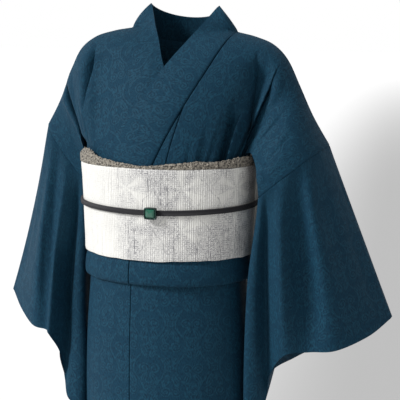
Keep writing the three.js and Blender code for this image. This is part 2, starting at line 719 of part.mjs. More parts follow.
function waistFold(from, to, columns, lower) {
  return grid(columns, FOLD_PATH.length - 1, (i, j) => {
    const angle = mix(from, to, i / columns);
    const { off, z } = FOLD_PATH[j];
    const outer = off > 7;
    const puff = outer && z < -372 ? lower(angle) : 0;
    return round(angle, z, off + puff);
  });
}
const foldPuff = (angle) => 0.9 * Math.sin(radians(angle * 3 + 20));

// ---------------------------------------------------------------- sash, knot, scarf and cord
function sash() {
  const columns = 60;
  const rows = [
    { z: SASH_TOP, off: SASH_IN + 1.2 },
    { z: -250, off: SASH_IN + 0.2 },
    { z: -335, off: SASH_IN },
    { z: SASH_BOTTOM, off: SASH_IN + 0.4 },
  ];
  return weld(grid(columns, rows.length - 1, (i, j) => {
    return round((i * 360) / columns, rows[j].z, rows[j].off);
  }, true));
}

// A length of sash laid across the back: its path seen from the side, carried from left to right.
function acrossBack(path, wide, columns, crown) {
  return grid(columns, path.length - 1, (i, j) => {
    const x = mix(-wide, wide, i / columns);
    return [x, path[j].y + crown(path[j]) * (1 - (x / wide) ** 2), path[j].z];
  });
}

// A closed tube: `ring` gives centres with their outward direction, `thick` and `high` its half sizes.
function tube(ring, sides, shape) {
  const count = ring.length;
  return weld(grid(count, sides, (i, j) => {
    const p = ring[i % count];
    const [out, up] = shape(((j % sides) / sides) * 2 * Math.PI);
    return [p.x + p.outX * out * p.thick, p.y + p.outY * out * p.thick, p.z + up * p.high];
  }));
}

const domeSection = (a) => [Math.cos(a), Math.sin(a) * (Math.sin(a) < 0 ? SCARF_UNDER : 1)];
const flatSection = (a) => [Math.cos(a + Math.PI / 4), Math.sin(a + Math.PI / 4)].map(Math.sign);

// Adds each point's outward direction, in the plan, to a closed ring.
function withOutward(ring) {
  return ring.map((p, i) => {
    const before = ring[(i + ring.length - 1) % ring.length];
    const after = ring[(i + 1) % ring.length];
    const along = new THREE.Vector2(after.x - before.x, after.y - before.y).normalize();
    return { ...p, outX: along.y, outY: -along.x };
  });
}

// A half path from the front centre round the wearer's left to the back centre, made into a whole ring.
function closedRing(half) {
  const other = half.slice(1, -1).map((p) => ({ ...p, x: -p.x })).reverse();
  return withOutward([...half, ...other]);
}

const scarf = () => tube(closedRing(smoothPath(SCARF, 2)), 8, domeSection);

function cord() {
  const steps = 15;
  const off = SASH_IN + SASH_WALL + CORD_CLEAR + CORD_THICK / 2;
  const front = Array.from({ length: steps }, (_, i) => {
    const angle = (i / steps) * 90;
    const [x, y] = round(angle, CORD_Z.side, off);
    return { x, y, z: mix(CORD_Z.front, CORD_Z.side, ease(angle / 90)) };
  });
  const back = smoothPath(CORD_BACK, 2).map((p, i, all) => {
    return { ...p, z: mix(CORD_Z.side, CORD_Z.back, i / (all.length - 1)) };
  });
  const half = [...front, ...back].map((p) => {
    return { x: p.x, y: p.y, z: p.z, thick: CORD_THICK / 2, high: CORD_HIGH / 2 };
  });
  return tube(closedRing(half), 4, flatSection);
}

// ---------------------------------------------------------------- clasp
function roundedOutline(wide, high, corner, Kind) {
  const [w, h] = [wide / 2, high / 2];
  const outline = new Kind();
  outline.moveTo(-w + corner, -h);
  outline.lineTo(w - corner, -h);
  outline.absarc(w - corner, -h + corner, corner, -Math.PI / 2, 0);
  outline.lineTo(w, h - corner);
  outline.absarc(w - corner, h - corner, corner, 0, Math.PI / 2);
  outline.lineTo(-w + corner, h);
  outline.absarc(-w + corner, h - corner, corner, Math.PI / 2, Math.PI);
  outline.lineTo(-w, -h + corner);
  outline.absarc(-w + corner, -h + corner, corner, Math.PI, 1.5 * Math.PI);
  return outline;
}

// Stands an extrusion of the XY plane upright, facing the way the wearer faces.
function facingForwards(geometry, y) {
  return geometry.rotateX(Math.PI / 2).translate(CLASP.x, y, CLASP.z);
}

function clasp() {
  const cordFace = round(3, CORD_Z.front, SASH_IN + SASH_WALL + CORD_CLEAR + CORD_THICK + 1.5 * SEAM)[1];
  const settings = { depth: CLASP.deep, bevelEnabled: false, curveSegments: 3 };
  const frame = roundedOutline(CLASP.wide, CLASP.high, CLASP.corner, THREE.Shape);
  const inWide = CLASP.wide - 2 * CLASP.rim;
  const inHigh = CLASP.high - 2 * CLASP.rim;
  frame.holes.push(roundedOutline(inWide, inHigh, CLASP.corner / 2, THREE.Path));
  const stone = roundedOutline(inWide - 3.4, inHigh - 3.4, 1, THREE.Shape);
  const bevel = { depth: 3, bevelEnabled: true, bevelThickness: 1.8, bevelSize: 1.35, bevelSegments: 1 };
  return {
    frame: facingForwards(new THREE.ExtrudeGeometry(frame, settings), cordFace),
    stone: facingForwards(new THREE.ExtrudeGeometry(stone, { ...bevel, curveSegments: 2 }), cordFace - 2.2),
  };
}

// ---------------------------------------------------------------- materials
const TEAL = { color: 0x1f4459, roughness: 0.82, metalness: 0 };
const IVORY = { color: 0xd9d7cd, roughness: 0.8, metalness: 0 };
const TAUPE = { color: 0x8f8678, roughness: 0.85, metalness: 0 };
const CHARCOAL = { color: 0x2f2e35, roughness: 0.75, metalness: 0 };
const DARK_METAL = { color: 0x3c4646, roughness: 0.35, metalness: 0.8 };
const GREEN = { color: 0x0f6b52, roughness: 0.12, metalness: 0 };

// ---------------------------------------------------------------- the garment
const kimono = new THREE.Group();

function add(name, geometry, finish) {
  const mesh = new THREE.Mesh(geometry, new THREE.MeshStandardMaterial(finish));
  mesh.name = name;
  kimono.add(mesh);
}

add("bodice_left", wall(bodice(LEFT), 0, CLOTH), TEAL);
add("bodice_right", wall(bodice(RIGHT), 0, CLOTH), TEAL);
add("gusset_left", wall(gusset(), 0, CLOTH), TEAL);
add("collar", wall(collar(), 0, COLLAR_WALL), TEAL);
add("sleeve_left", wall(sleeve(LEFT), -CLOTH / 2, CLOTH / 2), TEAL);
add("sleeve_right", wall(sleeve(RIGHT), -CLOTH / 2, CLOTH / 2), TEAL);

const panels = [
  ["skirt_gusset_left", FRONT_EDGE, GUSSET_SEAM - gap, 10, outerOff, frontHem],
  ["skirt_front_left", GUSSET_SEAM + gap, LEFT_SIDE - gap, 16, outerOff, levelHem],
  ["skirt_back_left", LEFT_SIDE + gap, BACK - gap, 12, () => 0, levelHem],
  ["skirt_back_right", BACK + gap, 360 + RIGHT_SIDE - gap, 12, () => 0, levelHem],
  ["skirt_front_right", RIGHT_SIDE + gap, UNDERLAP_EDGE, 16, () => 0, underHem],
];
for (const [name, from, to, columns, off, hem] of panels) {
  add(name, wall(skirtPanel(from, to, columns, 9, off, hem), 0, CLOTH), TEAL);
}

const folds = [
  ["waist_fold_gusset", FRONT_EDGE, GUSSET_SEAM - gap, 8],
  ["waist_fold_left", GUSSET_SEAM + gap, BACK - gap, 22],
  ["waist_fold_right", BACK + gap, 360 + FRONT_EDGE - 2 * gap, 12],
];
for (const [name, from, to, columns] of folds) {
  add(name, wall(waistFold(from, to, columns, foldPuff), -CLOTH / 2, CLOTH / 2), TEAL);
}

add("sash", wall(sash(), 0, SASH_WALL), IVORY);
const crown = ({ y }) => 7 * ease((y - 150) / 25);
add("sash_drum", wall(acrossBack(DRUM, DRUM_WIDE, 10, crown), -BAND_WALL / 2, BAND_WALL / 2), IVORY);
add("sash_tail", wall(acrossBack(TAIL, TAIL_WIDE, 6, () => 0), -BAND_WALL / 2, BAND_WALL / 2), IVORY);
add("sash_hand", wall(acrossBack(HAND, HAND_WIDE, 2, () => 0), -BAND_WALL / 2, BAND_WALL / 2), IVORY);

const solid = (sheet) => geometryOf(sheet.points, trianglesOf(sheet));
add("scarf", solid(scarf()), TAUPE);
add("cord", solid(cord()), CHARCOAL);

const { frame, stone } = clasp();
add("clasp_frame", frame, DARK_METAL);
add("clasp_stone", stone, GREEN);

export default kimono;
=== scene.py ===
# %% [markdown]
# # A woman's kimono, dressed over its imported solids
# The garment is shown as it is worn: bodice, crossed collar, wide sleeves, waist fold and long skirt, with the
# sash, its drum knot, the sash scarf, the braided cord and its clasp. Cloth can be draped by a simulation, but a
# kimono is dressed in a few known folds, so here every piece of cloth is one surface of two parameters, worked out
# as whole arrays. Lengths are in millimetres in the frame's own axes: +Z up, -Y forwards, +X to the wearer's left.

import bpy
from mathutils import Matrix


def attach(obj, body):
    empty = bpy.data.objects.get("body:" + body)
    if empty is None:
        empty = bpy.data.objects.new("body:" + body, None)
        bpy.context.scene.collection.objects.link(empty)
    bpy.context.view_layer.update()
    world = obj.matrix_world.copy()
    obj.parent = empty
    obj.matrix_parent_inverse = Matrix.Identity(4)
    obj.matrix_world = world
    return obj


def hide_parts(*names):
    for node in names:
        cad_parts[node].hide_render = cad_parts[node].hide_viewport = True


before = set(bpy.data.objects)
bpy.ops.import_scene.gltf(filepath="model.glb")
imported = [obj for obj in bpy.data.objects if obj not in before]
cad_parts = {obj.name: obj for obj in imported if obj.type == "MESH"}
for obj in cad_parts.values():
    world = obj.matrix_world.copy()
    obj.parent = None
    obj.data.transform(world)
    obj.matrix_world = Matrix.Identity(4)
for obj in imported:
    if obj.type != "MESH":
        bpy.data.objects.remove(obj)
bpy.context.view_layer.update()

import bpy
import numpy as np
from mathutils import Vector

MM = 0.001

# %% [markdown]
# ## Camera
# A camera needs a place, a direction and a lens. This one stands a little over two metres away, 18 degrees round
# to the wearer's left, and looks 9 degrees down through a long lens. The direction is a vector that
# `to_track_quat` turns into a rotation, because a vector is easier to check than three angles. The Standard view
# leaves the colours as they are set.

# %% Camera
TURN = np.radians(18)
AIM = TURN + np.radians(-1.409476)
DOWN = np.radians(9)
AWAY = 2.2
EYE = 0.065
camera = bpy.data.objects.new("camera", bpy.data.cameras.new("camera"))
bpy.context.scene.collection.objects.link(camera)
camera.location = (AWAY * np.sin(TURN), -AWAY * np.cos(TURN), EYE)
sight = Vector((-np.sin(AIM) * np.cos(DOWN), np.cos(AIM) * np.cos(DOWN), -np.sin(DOWN)))
camera.rotation_euler = sight.to_track_quat("-Z", "Y").to_euler()
camera.data.sensor_width = 36
camera.data.lens = 116.8
camera.data.dof.use_dof = False
camera.data.clip_end = 100
bpy.context.scene.camera = camera
bpy.context.scene.view_settings.view_transform = "Standard"
print("camera at", np.round(list(camera.location), 3).tolist(), "looking along", np.round(list(sight), 3).tolist())


# %% [markdown]
# ## Small helpers with numbers
# A fold, a bulge or a gathered edge is a sum of a few plain curves: a soft step, a straight blend, a bell and an
# uneven wave. A table of sizes becomes a smooth line when cubics run through its rows, which is what `through`
# does. A Bezier curve object could do the same, but an array function can be used on a whole grid at once.


# %% Numbers
def clamp(t):
    """t held between 0 and 1."""
    return np.clip(t, 0.0, 1.0)


def ease(t):
    """3 t squared less 2 t cubed, for t held between 0 and 1: a soft step."""
    t = clamp(t)
    return t * t * (3 - 2 * t)


def mix(a, b, t):
    """a at t = 0, b at t = 1, straight between."""
    return a + (b - a) * t


def table(names, *rows):
    """Rows of numbers with named columns, as {name: column}."""
    return dict(zip(names.split(), np.array(rows, float).T))


def through(rows, key, value):
    """Every column of a table at `value` of the column `key`, on cubics whose slopes are the mean of the
    neighbouring chords."""
    knots = rows[key]
    value = np.asarray(value, float)
    if knots[0] > knots[-1]:
        knots, value = -knots, -value
    i = np.clip(np.searchsorted(knots, value, side="right") - 1, 0, len(knots) - 2)
    span = np.diff(knots)
    t = clamp((value - knots[i]) / span[i])
    found = {}
    for name, column in rows.items():
        chord = np.diff(column) / span
        slope = np.concatenate([chord[:1], (chord[1:] + chord[:-1]) / 2, chord[-1:]])
        found[name] = (
            (2 * t**3 - 3 * t**2 + 1) * column[i]
            + (t**3 - 2 * t**2 + t) * span[i] * slope[i]
            + (3 * t**2 - 2 * t**3) * column[i + 1]
            + (t**3 - t**2) * span[i] * slope[i + 1]
        )
    return found


def stack(x, y, z):
    """Points from their three coordinates, which may be of any shapes that fit each other."""
    return np.stack(np.broadcast_arrays(x, y, z), axis=-1).astype(float)


def bump(t, centre, width):
    """A bell of height 1 round `centre`."""
    return np.exp(-(((t - centre) / width) ** 2))


def uneven(t, seed):
    """A slow, uneven wave between about -1 and 1: four sines whose pitches share no whole ratio."""
    phase = seed * 1.7
    return (
        np.sin(t + phase) + 0.6 * np.sin(2.31 * t + 2 * phase) + 0.4 * np.sin(4.17 * t + 3 * phase)
        + 0.25 * np.sin(7.03 * t + 5 * phase)
    ) / 1.8


def close_to_edges(count, *edges):
    """Places from 0 to 1, evenly `count` apart, with a few more close to the ends 0 or 1 that `edges` names."""
    near = np.array([0.0012, 0.003, 0.006, 0.012])
    places = [np.linspace(0, 1, count + 1)]
    places += [near if edge == 0 else 1 - near for edge in edges]
    return np.unique(np.concatenate(places))
print("a soft step at 0.25, 0.5 and 0.75:", ease(np.array([0.25, 0.5, 0.75])).tolist())


# %% [markdown]
# ## Sizes that several pieces share
# These are the walls of the cloth, the heights of the sash and the hem, and the lines along which the collar, the
# fronts and the sleeves are sewn. Pieces that meet read the same values, so that their edges stay together. A size
# that one piece alone uses stands with that piece.

# %% Sizes
CLOTH, COLLAR_WALL, SASH_WALL, BAND_WALL = 1.4, 2.0, 4.0, 3.0
# Heights of the sash's edges, and how far off the figure its inner face lies.
SASH_TOP, SASH_BOTTOM, SASH_IN = -216.5, -367.0, 10.6
# Where the bodice ends under the sash, and how far it lies off the figure there.
BODY_END, BODY_OFF = -258.0, 4.4
HEM = -1312.0
# The point x, y, z where the neck seam crosses the shoulder, and the height and depth of the seam at the nape.
NECK = (94.0, 60.0, 4.0)
NAPE_Y, NAPE_Z = 118.0, -20.0
# The neck seam's and the collar edge's x where they go under the sash.
SEAM_END, EDGE_END = -12.0, -108.0
# The height of the left gusset's tip, and the x of its outer edge under the sash.
GUSSET_TIP, GUSSET_X = -116.0, 20.0
# The point x, y, z under the arm, behind.
UNDERARM = (168.0, 80.0, -262.0)
# Angles round the figure, 0 in front and 90 at the wearer's left: the outer front's free edge, its gusset's seam and
# the hidden edge of the front below it.
FRONT_EDGE, GUSSET_SEAM, UNDERLAP_EDGE = -82.0, -14.0, 66.0

# %% The two halves
# side: 1 on the wearer's left. kink: x and z of the sleeve seam's top. under: x and y of the front under the arm.
# bow and collar_bow: how far the sleeve's outline and the collar bow sideways. lift: how far the outer front lies off
# the inner one. drop: how much higher the sleeve's lower edge ends. close and close_from: how far the sleeve is drawn
# in beside the body, and from what share of its length. chest_to and rise: how far out the chest reaches, and how
# full it is beside the armpit. lopsided: how many times wider a crease is on its far side. armpit: place, slant and
# width of the line of painted shade in the fold below the armpit.
LEFT = dict(
    side=1, kink=(266, -186), under=(174, -60), bow=0, collar_bow=-8, lift=3.6, drop=0, close=6, close_from=0.05,
    chest_to=0.4, rise=0, lopsided=7.5,
    armpit=(0.585, -0.09, 0.008),
)
RIGHT = dict(
    side=-1, kink=(243, -166), under=(162, 25), bow=-6, collar_bow=2, lift=0, drop=4, close=7, close_from=0.5,
    chest_to=0.28, rise=15, lopsided=1.0,
    armpit=(0.598, 0.14, 0.0125),
)
print("hem", HEM, "sash", SASH_TOP, "to", SASH_BOTTOM, "sleeve seams at x", LEFT["kink"][0], -RIGHT["kink"][0])


# %% [markdown]
# ## From a grid of points to a piece
# Cloth could start as a plane with modifiers, but then the sewn edges of two neighbours would hardly meet. Here a
# piece is one or more grids of points, welded where they meet, and a Solidify modifier gives the wall. Each corner
# keeps its place on the flat cloth in metres as its UV, so that the weave turns with each panel. Each point keeps
# its distance from the nearest sewn edge as the attribute `seam`, by which seams are sunk and given painted shade.
# On the fronts it also holds the distance from the fold line below the armpit, which gets the same painted shade.


# %% Measures of a grid
def arcs(points, axis):
    """Length along a grid's lines, from their start, in millimetres."""
    steps = np.linalg.norm(np.diff(points, axis=axis), axis=-1)
    start = np.zeros_like(np.take(steps, [0], axis=axis))
    return np.concatenate([start, np.cumsum(steps, axis=axis)], axis=axis)


def normals_of(points):
    """Unit normals of a grid: (change over columns) x (change over rows)."""
    across, down = np.gradient(points, axis=0), np.gradient(points, axis=1)
    normal = np.cross(across, down)
    return normal / np.maximum(np.linalg.norm(normal, axis=-1, keepdims=True), 1e-9)


def grid_area(points):
    """Area of a grid of quads, each half the cross product of its diagonals, in square metres."""
    one = points[1:, 1:] - points[:-1, :-1]
    other = points[1:, :-1] - points[:-1, 1:]
    return np.linalg.norm(np.cross(one, other), axis=-1).sum() / 2 * MM * MM


# %% Grids of cloth
def cloth_grid(points, flip=False, seams="", start=(0, 0)):
    """A grid of cloth, with its place on the flat cloth and its distance from the sewn edges that `seams`
    names: l and r for the first and last column, t and b for the first and last row. `start` shifts the place, as
    if the panel were cut elsewhere on the bolt. The place is the length along the middle row and down each column."""
    middle = points.shape[1] // 2
    wide = arcs(points, 0)
    long = arcs(points, 1)
    u = np.broadcast_to(wide[:, middle : middle + 1], long.shape) + start[0]
    v = long + start[1]
    edges = {"l": wide, "r": wide[-1:] - wide, "t": long, "b": long[:, -1:] - long}
    far = np.full(long.shape, 99.0)
    seam = np.minimum.reduce([far] + [edges[letter] for letter in seams])
    return dict(points=points, flip=flip, u=u, v=v, seam=seam, wide=wide[-1].max(), long=long[:, -1].max())


def sunk(grid, depth=0.6, reach=1.1):
    """The grid with its sewn edges drawn in: depth times a bell of the distance from the edge."""
    outward = normals_of(grid["points"]) * (-1 if grid["flip"] else 1)
    grid["points"] = grid["points"] - outward * (depth * np.exp(-((grid["seam"] / reach) ** 2)))[..., None]
    return grid


# %% Pieces
WELDS_PER_MM = 40
RIM_ANGLE = np.radians(55)


def welded(grids):
    """All the grids as one: the corners of the quads, the points, their seam distances and the corners' flat
    places. Points that round to the same fortieth of a millimetre are made one."""
    corners, points, seams, uvs, base = [], [], [], [], 0
    for grid in grids:
        m, n = grid["points"].shape[:2]
        at = np.arange(m * n).reshape(m, n) + base
        quads = np.stack([at[:-1, :-1], at[1:, :-1], at[1:, 1:], at[:-1, 1:]], axis=-1).reshape(-1, 4)
        corners.append(quads[:, ::-1] if grid["flip"] else quads)
        points.append(grid["points"].reshape(-1, 3))
        seams.append(grid["seam"].reshape(-1))
        uvs.append(np.stack([grid["u"], grid["v"]], axis=-1).reshape(-1, 2))
        base += m * n
    corners, points = np.concatenate(corners), np.concatenate(points)
    seams, uvs = np.concatenate(seams), np.concatenate(uvs)
    rounded = np.round(points * WELDS_PER_MM).astype(int)
    _, first, joined = np.unique(rounded, axis=0, return_index=True, return_inverse=True)
    return joined.reshape(-1)[corners], points[first], seams[first], uvs[corners.reshape(-1)]


def make_piece(name, grids, material, nodes, wall=0.0, side=1, held=None):
    """One mesh object from grids of points, welded, with a wall `wall` thick on the outer (side 1), middle (0)
    or inner side (-1) of the surface. When held is given, the piece's cut size and area are printed."""
    corners, points, seams, uvs = welded(grids)
    mesh = bpy.data.meshes.new(name)
    mesh.from_pydata((points * MM).tolist(), [], corners.tolist())
    mesh.uv_layers.new(name="cloth").data.foreach_set("uv", (uvs * MM).reshape(-1))
    mesh.attributes.new("seam", "FLOAT", "POINT").data.foreach_set("value", seams)
    mesh.validate()
    mesh.shade_smooth()
    piece = bpy.data.objects.new(name, mesh)
    bpy.context.scene.collection.objects.link(piece)
    piece.data.materials.append(material)
    if wall:
        shell = piece.modifiers.new("wall", "SOLIDIFY")
        shell.thickness, shell.offset, shell.use_rim = wall * MM, side, True
        split = piece.modifiers.new("crisp rims", "EDGE_SPLIT")
        split.split_angle = RIM_ANGLE
    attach(piece, "root")
    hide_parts(*nodes)
    cut = ""
    if held:
        area = sum(grid_area(grid["points"]) for grid in grids)
        width = max(grid["wide"] for grid in grids) * MM
        length = max(sum(grid["long"] for grid in grids) * MM, area / width)
        cut = f", cut {width:.3f} by {length:.3f} m, {area:.3f} m2"
    print(f"{name}: {len(corners)} quads{cut}")
    return piece


# %% [markdown]
# ## How the materials are put together
# A material is a small graph of nodes. Linking nodes by hand takes four lines for each sum, so `Recipe` wraps the
# graph: its methods take sockets or plain numbers and give back a socket. All patterns are worked out from the place
# on the flat cloth, in millimetres, so that a weave runs along each panel as the cloth was cut.


# %% Material helpers
class Recipe:
    """A material that is put together from sums of sockets and numbers. u and v are the place on the flat cloth in
    millimetres."""

    def __init__(self, name):
        self.material = bpy.data.materials.new(name)
        self.material.use_nodes = True
        self.tree = self.material.node_tree
        self.shader = self.tree.nodes["Principled BSDF"]
        where = self.node("ShaderNodeUVMap", uv_map="cloth")
        parts = self.node("ShaderNodeSeparateXYZ")
        self.join(where.outputs[0], parts.inputs[0])
        self.u = self.calc("MULTIPLY", parts.outputs[0], 1000)
        self.v = self.calc("MULTIPLY", parts.outputs[1], 1000)

    def node(self, kind, **settings):
        """A new node with its settings."""
        made = self.tree.nodes.new(kind)
        for name, value in settings.items():
            setattr(made, name, value)
        return made

    def join(self, value, socket):
        """Links a socket, or sets a number or colour."""
        if isinstance(value, bpy.types.NodeSocket):
            self.tree.links.new(value, socket)
        else:
            socket.default_value = value

    def calc(self, operation, *values, held=False):
        """One Math node: the operation on up to three values, held between 0 and 1 if asked."""
        made = self.node("ShaderNodeMath", operation=operation, use_clamp=held)
        for value, socket in zip(values, made.inputs):
            self.join(value, socket)
        return made.outputs[0]

    def place(self, u, v, w=0.0):
        """A vector from three values."""
        made = self.node("ShaderNodeCombineXYZ")
        for value, socket in zip((u, v, w), made.inputs):
            self.join(value, socket)
        return made.outputs[0]

    def noise(self, u, v, detail=2.0, rough=0.5, w=0.0):
        """Soft noise at the place u, v, w: one wave to each step of 1, about 0.5 on average."""
        made = self.node("ShaderNodeTexNoise")
        self.join(self.place(u, v, w), made.inputs["Vector"])
        for name, value in (("Scale", 1.0), ("Detail", detail), ("Roughness", rough)):
            made.inputs[name].default_value = value
        return made.outputs["Fac"]

    def times(self, value, factor):
        """The value times the factor."""
        return self.calc("MULTIPLY", value, factor)

    def line(self, distance, half, soft):
        """1 where distance is under `half`, fading to 0 over `soft`."""
        over = self.calc("SUBTRACT", distance, half)
        return self.calc("SUBTRACT", 1.0, self.calc("DIVIDE", over, soft), held=True)

    def blend(self, share, one, other):
        """A colour: one at share 0, other at share 1."""
        made = self.node("ShaderNodeMix", data_type="RGBA")
        for value, socket in ((share, made.inputs[0]), (one, made.inputs[6]), (other, made.inputs[7])):
            self.join(value, socket)
        return made.outputs[2]

    def seam_shade(self, half=0.3, soft=1.1):
        """1 in a sewn edge or a painted fold line, 0 away from it: the mask of painted shade."""
        made = self.node("ShaderNodeAttribute", attribute_name="seam")
        return self.line(made.outputs["Fac"], half, soft)

    def bumps(self, height, distance):
        """Tilts the light as if the surface rose by height times distance, in millimetres."""
        made = self.node("ShaderNodeBump")
        made.inputs["Distance"].default_value = distance * MM
        self.join(height, made.inputs["Height"])
        self.join(made.outputs[0], self.shader.inputs["Normal"])

    def finish(self, **values):
        """Sets the shader's inputs by their names, and gives the material."""
        for name, value in values.items():
            self.join(value, self.shader.inputs[name.replace("_", " ").title().replace("Ior", "IOR")])
        print(f"{self.material.name}: {len(self.tree.nodes)} nodes")
        return self.material


def rgb(red, green, blue):
    """A colour given by its screen values from 0 to 255, as linear light."""
    screen = np.array([red, green, blue]) / 255
    light = np.where(screen <= 0.04045, screen / 12.92, ((screen + 0.055) / 1.055) ** 2.4)
    return (*light.tolist(), 1.0)


# %% [markdown]
# ## Silk with a woven scroll
# The cloth of this kimono is a damask: warp and weft have one colour, and a scroll of vines, curls, leaves and small
# flowers shows only because its threads lie the other way and shine a little more. An image would show its pixels
# and its repeat would have to be painted, so each line is worked out instead, as a distance: `line` is 1 near that
# distance's zero. The whole repeat is mirrored to and fro by a Math node in ping-pong mode.

# %% The scroll
HALF_REPEAT, REPEAT = 58.0, 124.0
SCROLL_SIZE = 0.62
STROKE, STROKE_SOFT = 2.4, 2.2
WANDER_PITCH, WANDER = 0.03, 9.0
VINE_MIDDLE, VINE_SWING = 29.0, 15.0
# Curls: x, y, pitch, reach and hand. Leaves: x, y, degrees, length and width. Flowers: x, y and radius.
CURLS = ((14, 31, 8, 15, 1), (44, 93, 8, 15, -1), (52, 52, 6, 9, 1), (6, 76, 6, 9, -1))
LEAVES = ((14, 58, 62, 33, 14), (44, 66, 118, 30, 13), (46, 6, 60, 30, 13), (13, 108, 118, 33, 14))
FLOWERS = ((HALF_REPEAT, 30, 7.5), (0, 92, 7.5))
PETAL_DEPTH = 0.22


def scroll(silk):
    """How far a woven line covers a point, 0 to 1: a waving vine, curls that wind in on themselves, veined
    leaves and small flowers, mirrored every half repeat."""
    u, v = silk.times(silk.u, 1 / SCROLL_SIZE), silk.times(silk.v, 1 / SCROLL_SIZE)
    wander = silk.times(silk.noise(silk.times(u, WANDER_PITCH), silk.times(v, WANDER_PITCH)), WANDER)
    x = silk.calc("PINGPONG", silk.calc("ADD", u, wander), HALF_REPEAT)
    y = silk.calc("WRAP", v, REPEAT, 0.0)
    wave = silk.calc("SINE", silk.times(v, 2 * np.pi / REPEAT))
    swing = silk.calc("MULTIPLY_ADD", wave, VINE_SWING, VINE_MIDDLE)
    vine = silk.calc("ABSOLUTE", silk.calc("SUBTRACT", x, swing))
    marks = [silk.line(vine, STROKE, STROKE_SOFT)]

    def local(cx, cy):
        """The place as seen from a centre: x less cx, y less cy."""
        return silk.calc("SUBTRACT", x, cx), silk.calc("SUBTRACT", y, cy)

    def polar(cx, cy):
        """Distance and angle from a centre: the root of the squares' sum, and the arc tangent of y over x."""
        dx, dy = local(cx, cy)
        squares = silk.calc("MULTIPLY_ADD", dx, dx, silk.calc("MULTIPLY", dy, dy))
        return silk.calc("SQRT", squares), silk.calc("ARCTAN2", dy, dx)

    def curl(cx, cy, pitch, reach, hand):
        """A spiral of even pitch, cut off at `reach`."""
        far, round_ = polar(cx, cy)
        turns = silk.calc("MULTIPLY_ADD", round_, hand / (2 * np.pi), silk.times(far, 1 / pitch))
        gap = silk.calc("ABSOLUTE", silk.calc("SUBTRACT", silk.calc("FRACT", turns), 0.5))
        lines = silk.line(silk.times(gap, pitch), STROKE * 0.8, STROKE_SOFT * 0.8)
        return silk.calc("MULTIPLY", lines, silk.calc("LESS_THAN", far, reach))

    def leaf(cx, cy, degrees, long, wide):
        """The outline and midrib of two arcs that meet at both tips."""
        dx, dy = local(cx, cy)
        c, s = np.cos(np.radians(degrees)), np.sin(np.radians(degrees))
        along = silk.calc("MULTIPLY_ADD", dx, c, silk.times(dy, s))
        across = silk.calc("ABSOLUTE", silk.calc("MULTIPLY_ADD", dx, -s, silk.times(dy, c)))
        radius = (long**2 + wide**2) / (4 * wide)
        off = silk.calc("ADD", across, radius - wide / 2)
        far = silk.calc("SQRT", silk.calc("MULTIPLY_ADD", along, along, silk.calc("MULTIPLY", off, off)))
        past = silk.calc("SUBTRACT", far, radius)
        outline = silk.line(silk.calc("ABSOLUTE", past), STROKE * 0.8, STROKE_SOFT)
        inside = silk.calc("LESS_THAN", past, 0.0)
        rib = silk.calc("MULTIPLY", silk.line(across, STROKE * 0.5, STROKE_SOFT * 0.7), inside)
        return silk.calc("MAXIMUM", outline, silk.calc("MAXIMUM", rib, silk.times(inside, 0.3)))

    def flower(cx, cy, radius):
        """Five petals round a dot: the outline's radius swells and shrinks with the cosine of five turns."""
        far, round_ = polar(cx, cy)
        petals = silk.calc("COSINE", silk.times(round_, 5.0))
        edge = silk.calc("MULTIPLY_ADD", petals, PETAL_DEPTH * radius, radius)
        past = silk.calc("ABSOLUTE", silk.calc("SUBTRACT", far, edge))
        outline = silk.line(past, STROKE * 0.8, STROKE_SOFT)
        return silk.calc("MAXIMUM", outline, silk.line(far, PETAL_DEPTH * radius, 0.8))

    marks += [curl(*numbers) for numbers in CURLS]
    marks += [leaf(*numbers) for numbers in LEAVES]
    marks += [flower(*numbers) for numbers in FLOWERS]
    covered = marks[0]
    for mark in marks[1:]:
        covered = silk.calc("MAXIMUM", covered, mark)
    return covered


# %% [markdown]
# ## The silk itself
# Silk is never one flat colour. Its ground is clouded, the woven figure is a shade lighter and partly worn away, and
# thicker threads fleck it. Three noises of different pitch give these, each blended over the last. The sewn edges
# dip and no light comes out of them, so painted shade makes them nearly black and takes away their gloss and sheen.
# The fold lines below the armpits get the same painted shade.


# %% Silk
# The pitch of the threads, the colours, and how much gloss and sheen there is.
SILK_THREAD = 1.3
SILK_GROUND, SILK_LIGHTER, SILK_FIGURE = rgb(11, 50, 70), rgb(16, 59, 80), rgb(19, 65, 86)
# The last colour is painted shade: the near black of sewn edges and of the fold lines below the armpits.
SILK_SHADE, SILK_FLECK, SILK_SEAM_SHADE = rgb(5, 35, 52), rgb(6, 35, 54), rgb(1, 7, 14)
SILK_GLOSS, SILK_SHEEN = 0.16, 0.05


def weave(recipe, pitch):
    """Threads that cross: the product of two fine waves, 0 to 1."""
    warp = recipe.calc("SINE", recipe.times(recipe.u, 2 * np.pi / pitch))
    weft = recipe.calc("SINE", recipe.times(recipe.v, 2 * np.pi / pitch))
    return recipe.calc("MULTIPLY_ADD", recipe.calc("MULTIPLY", warp, weft), 0.5, 0.5)


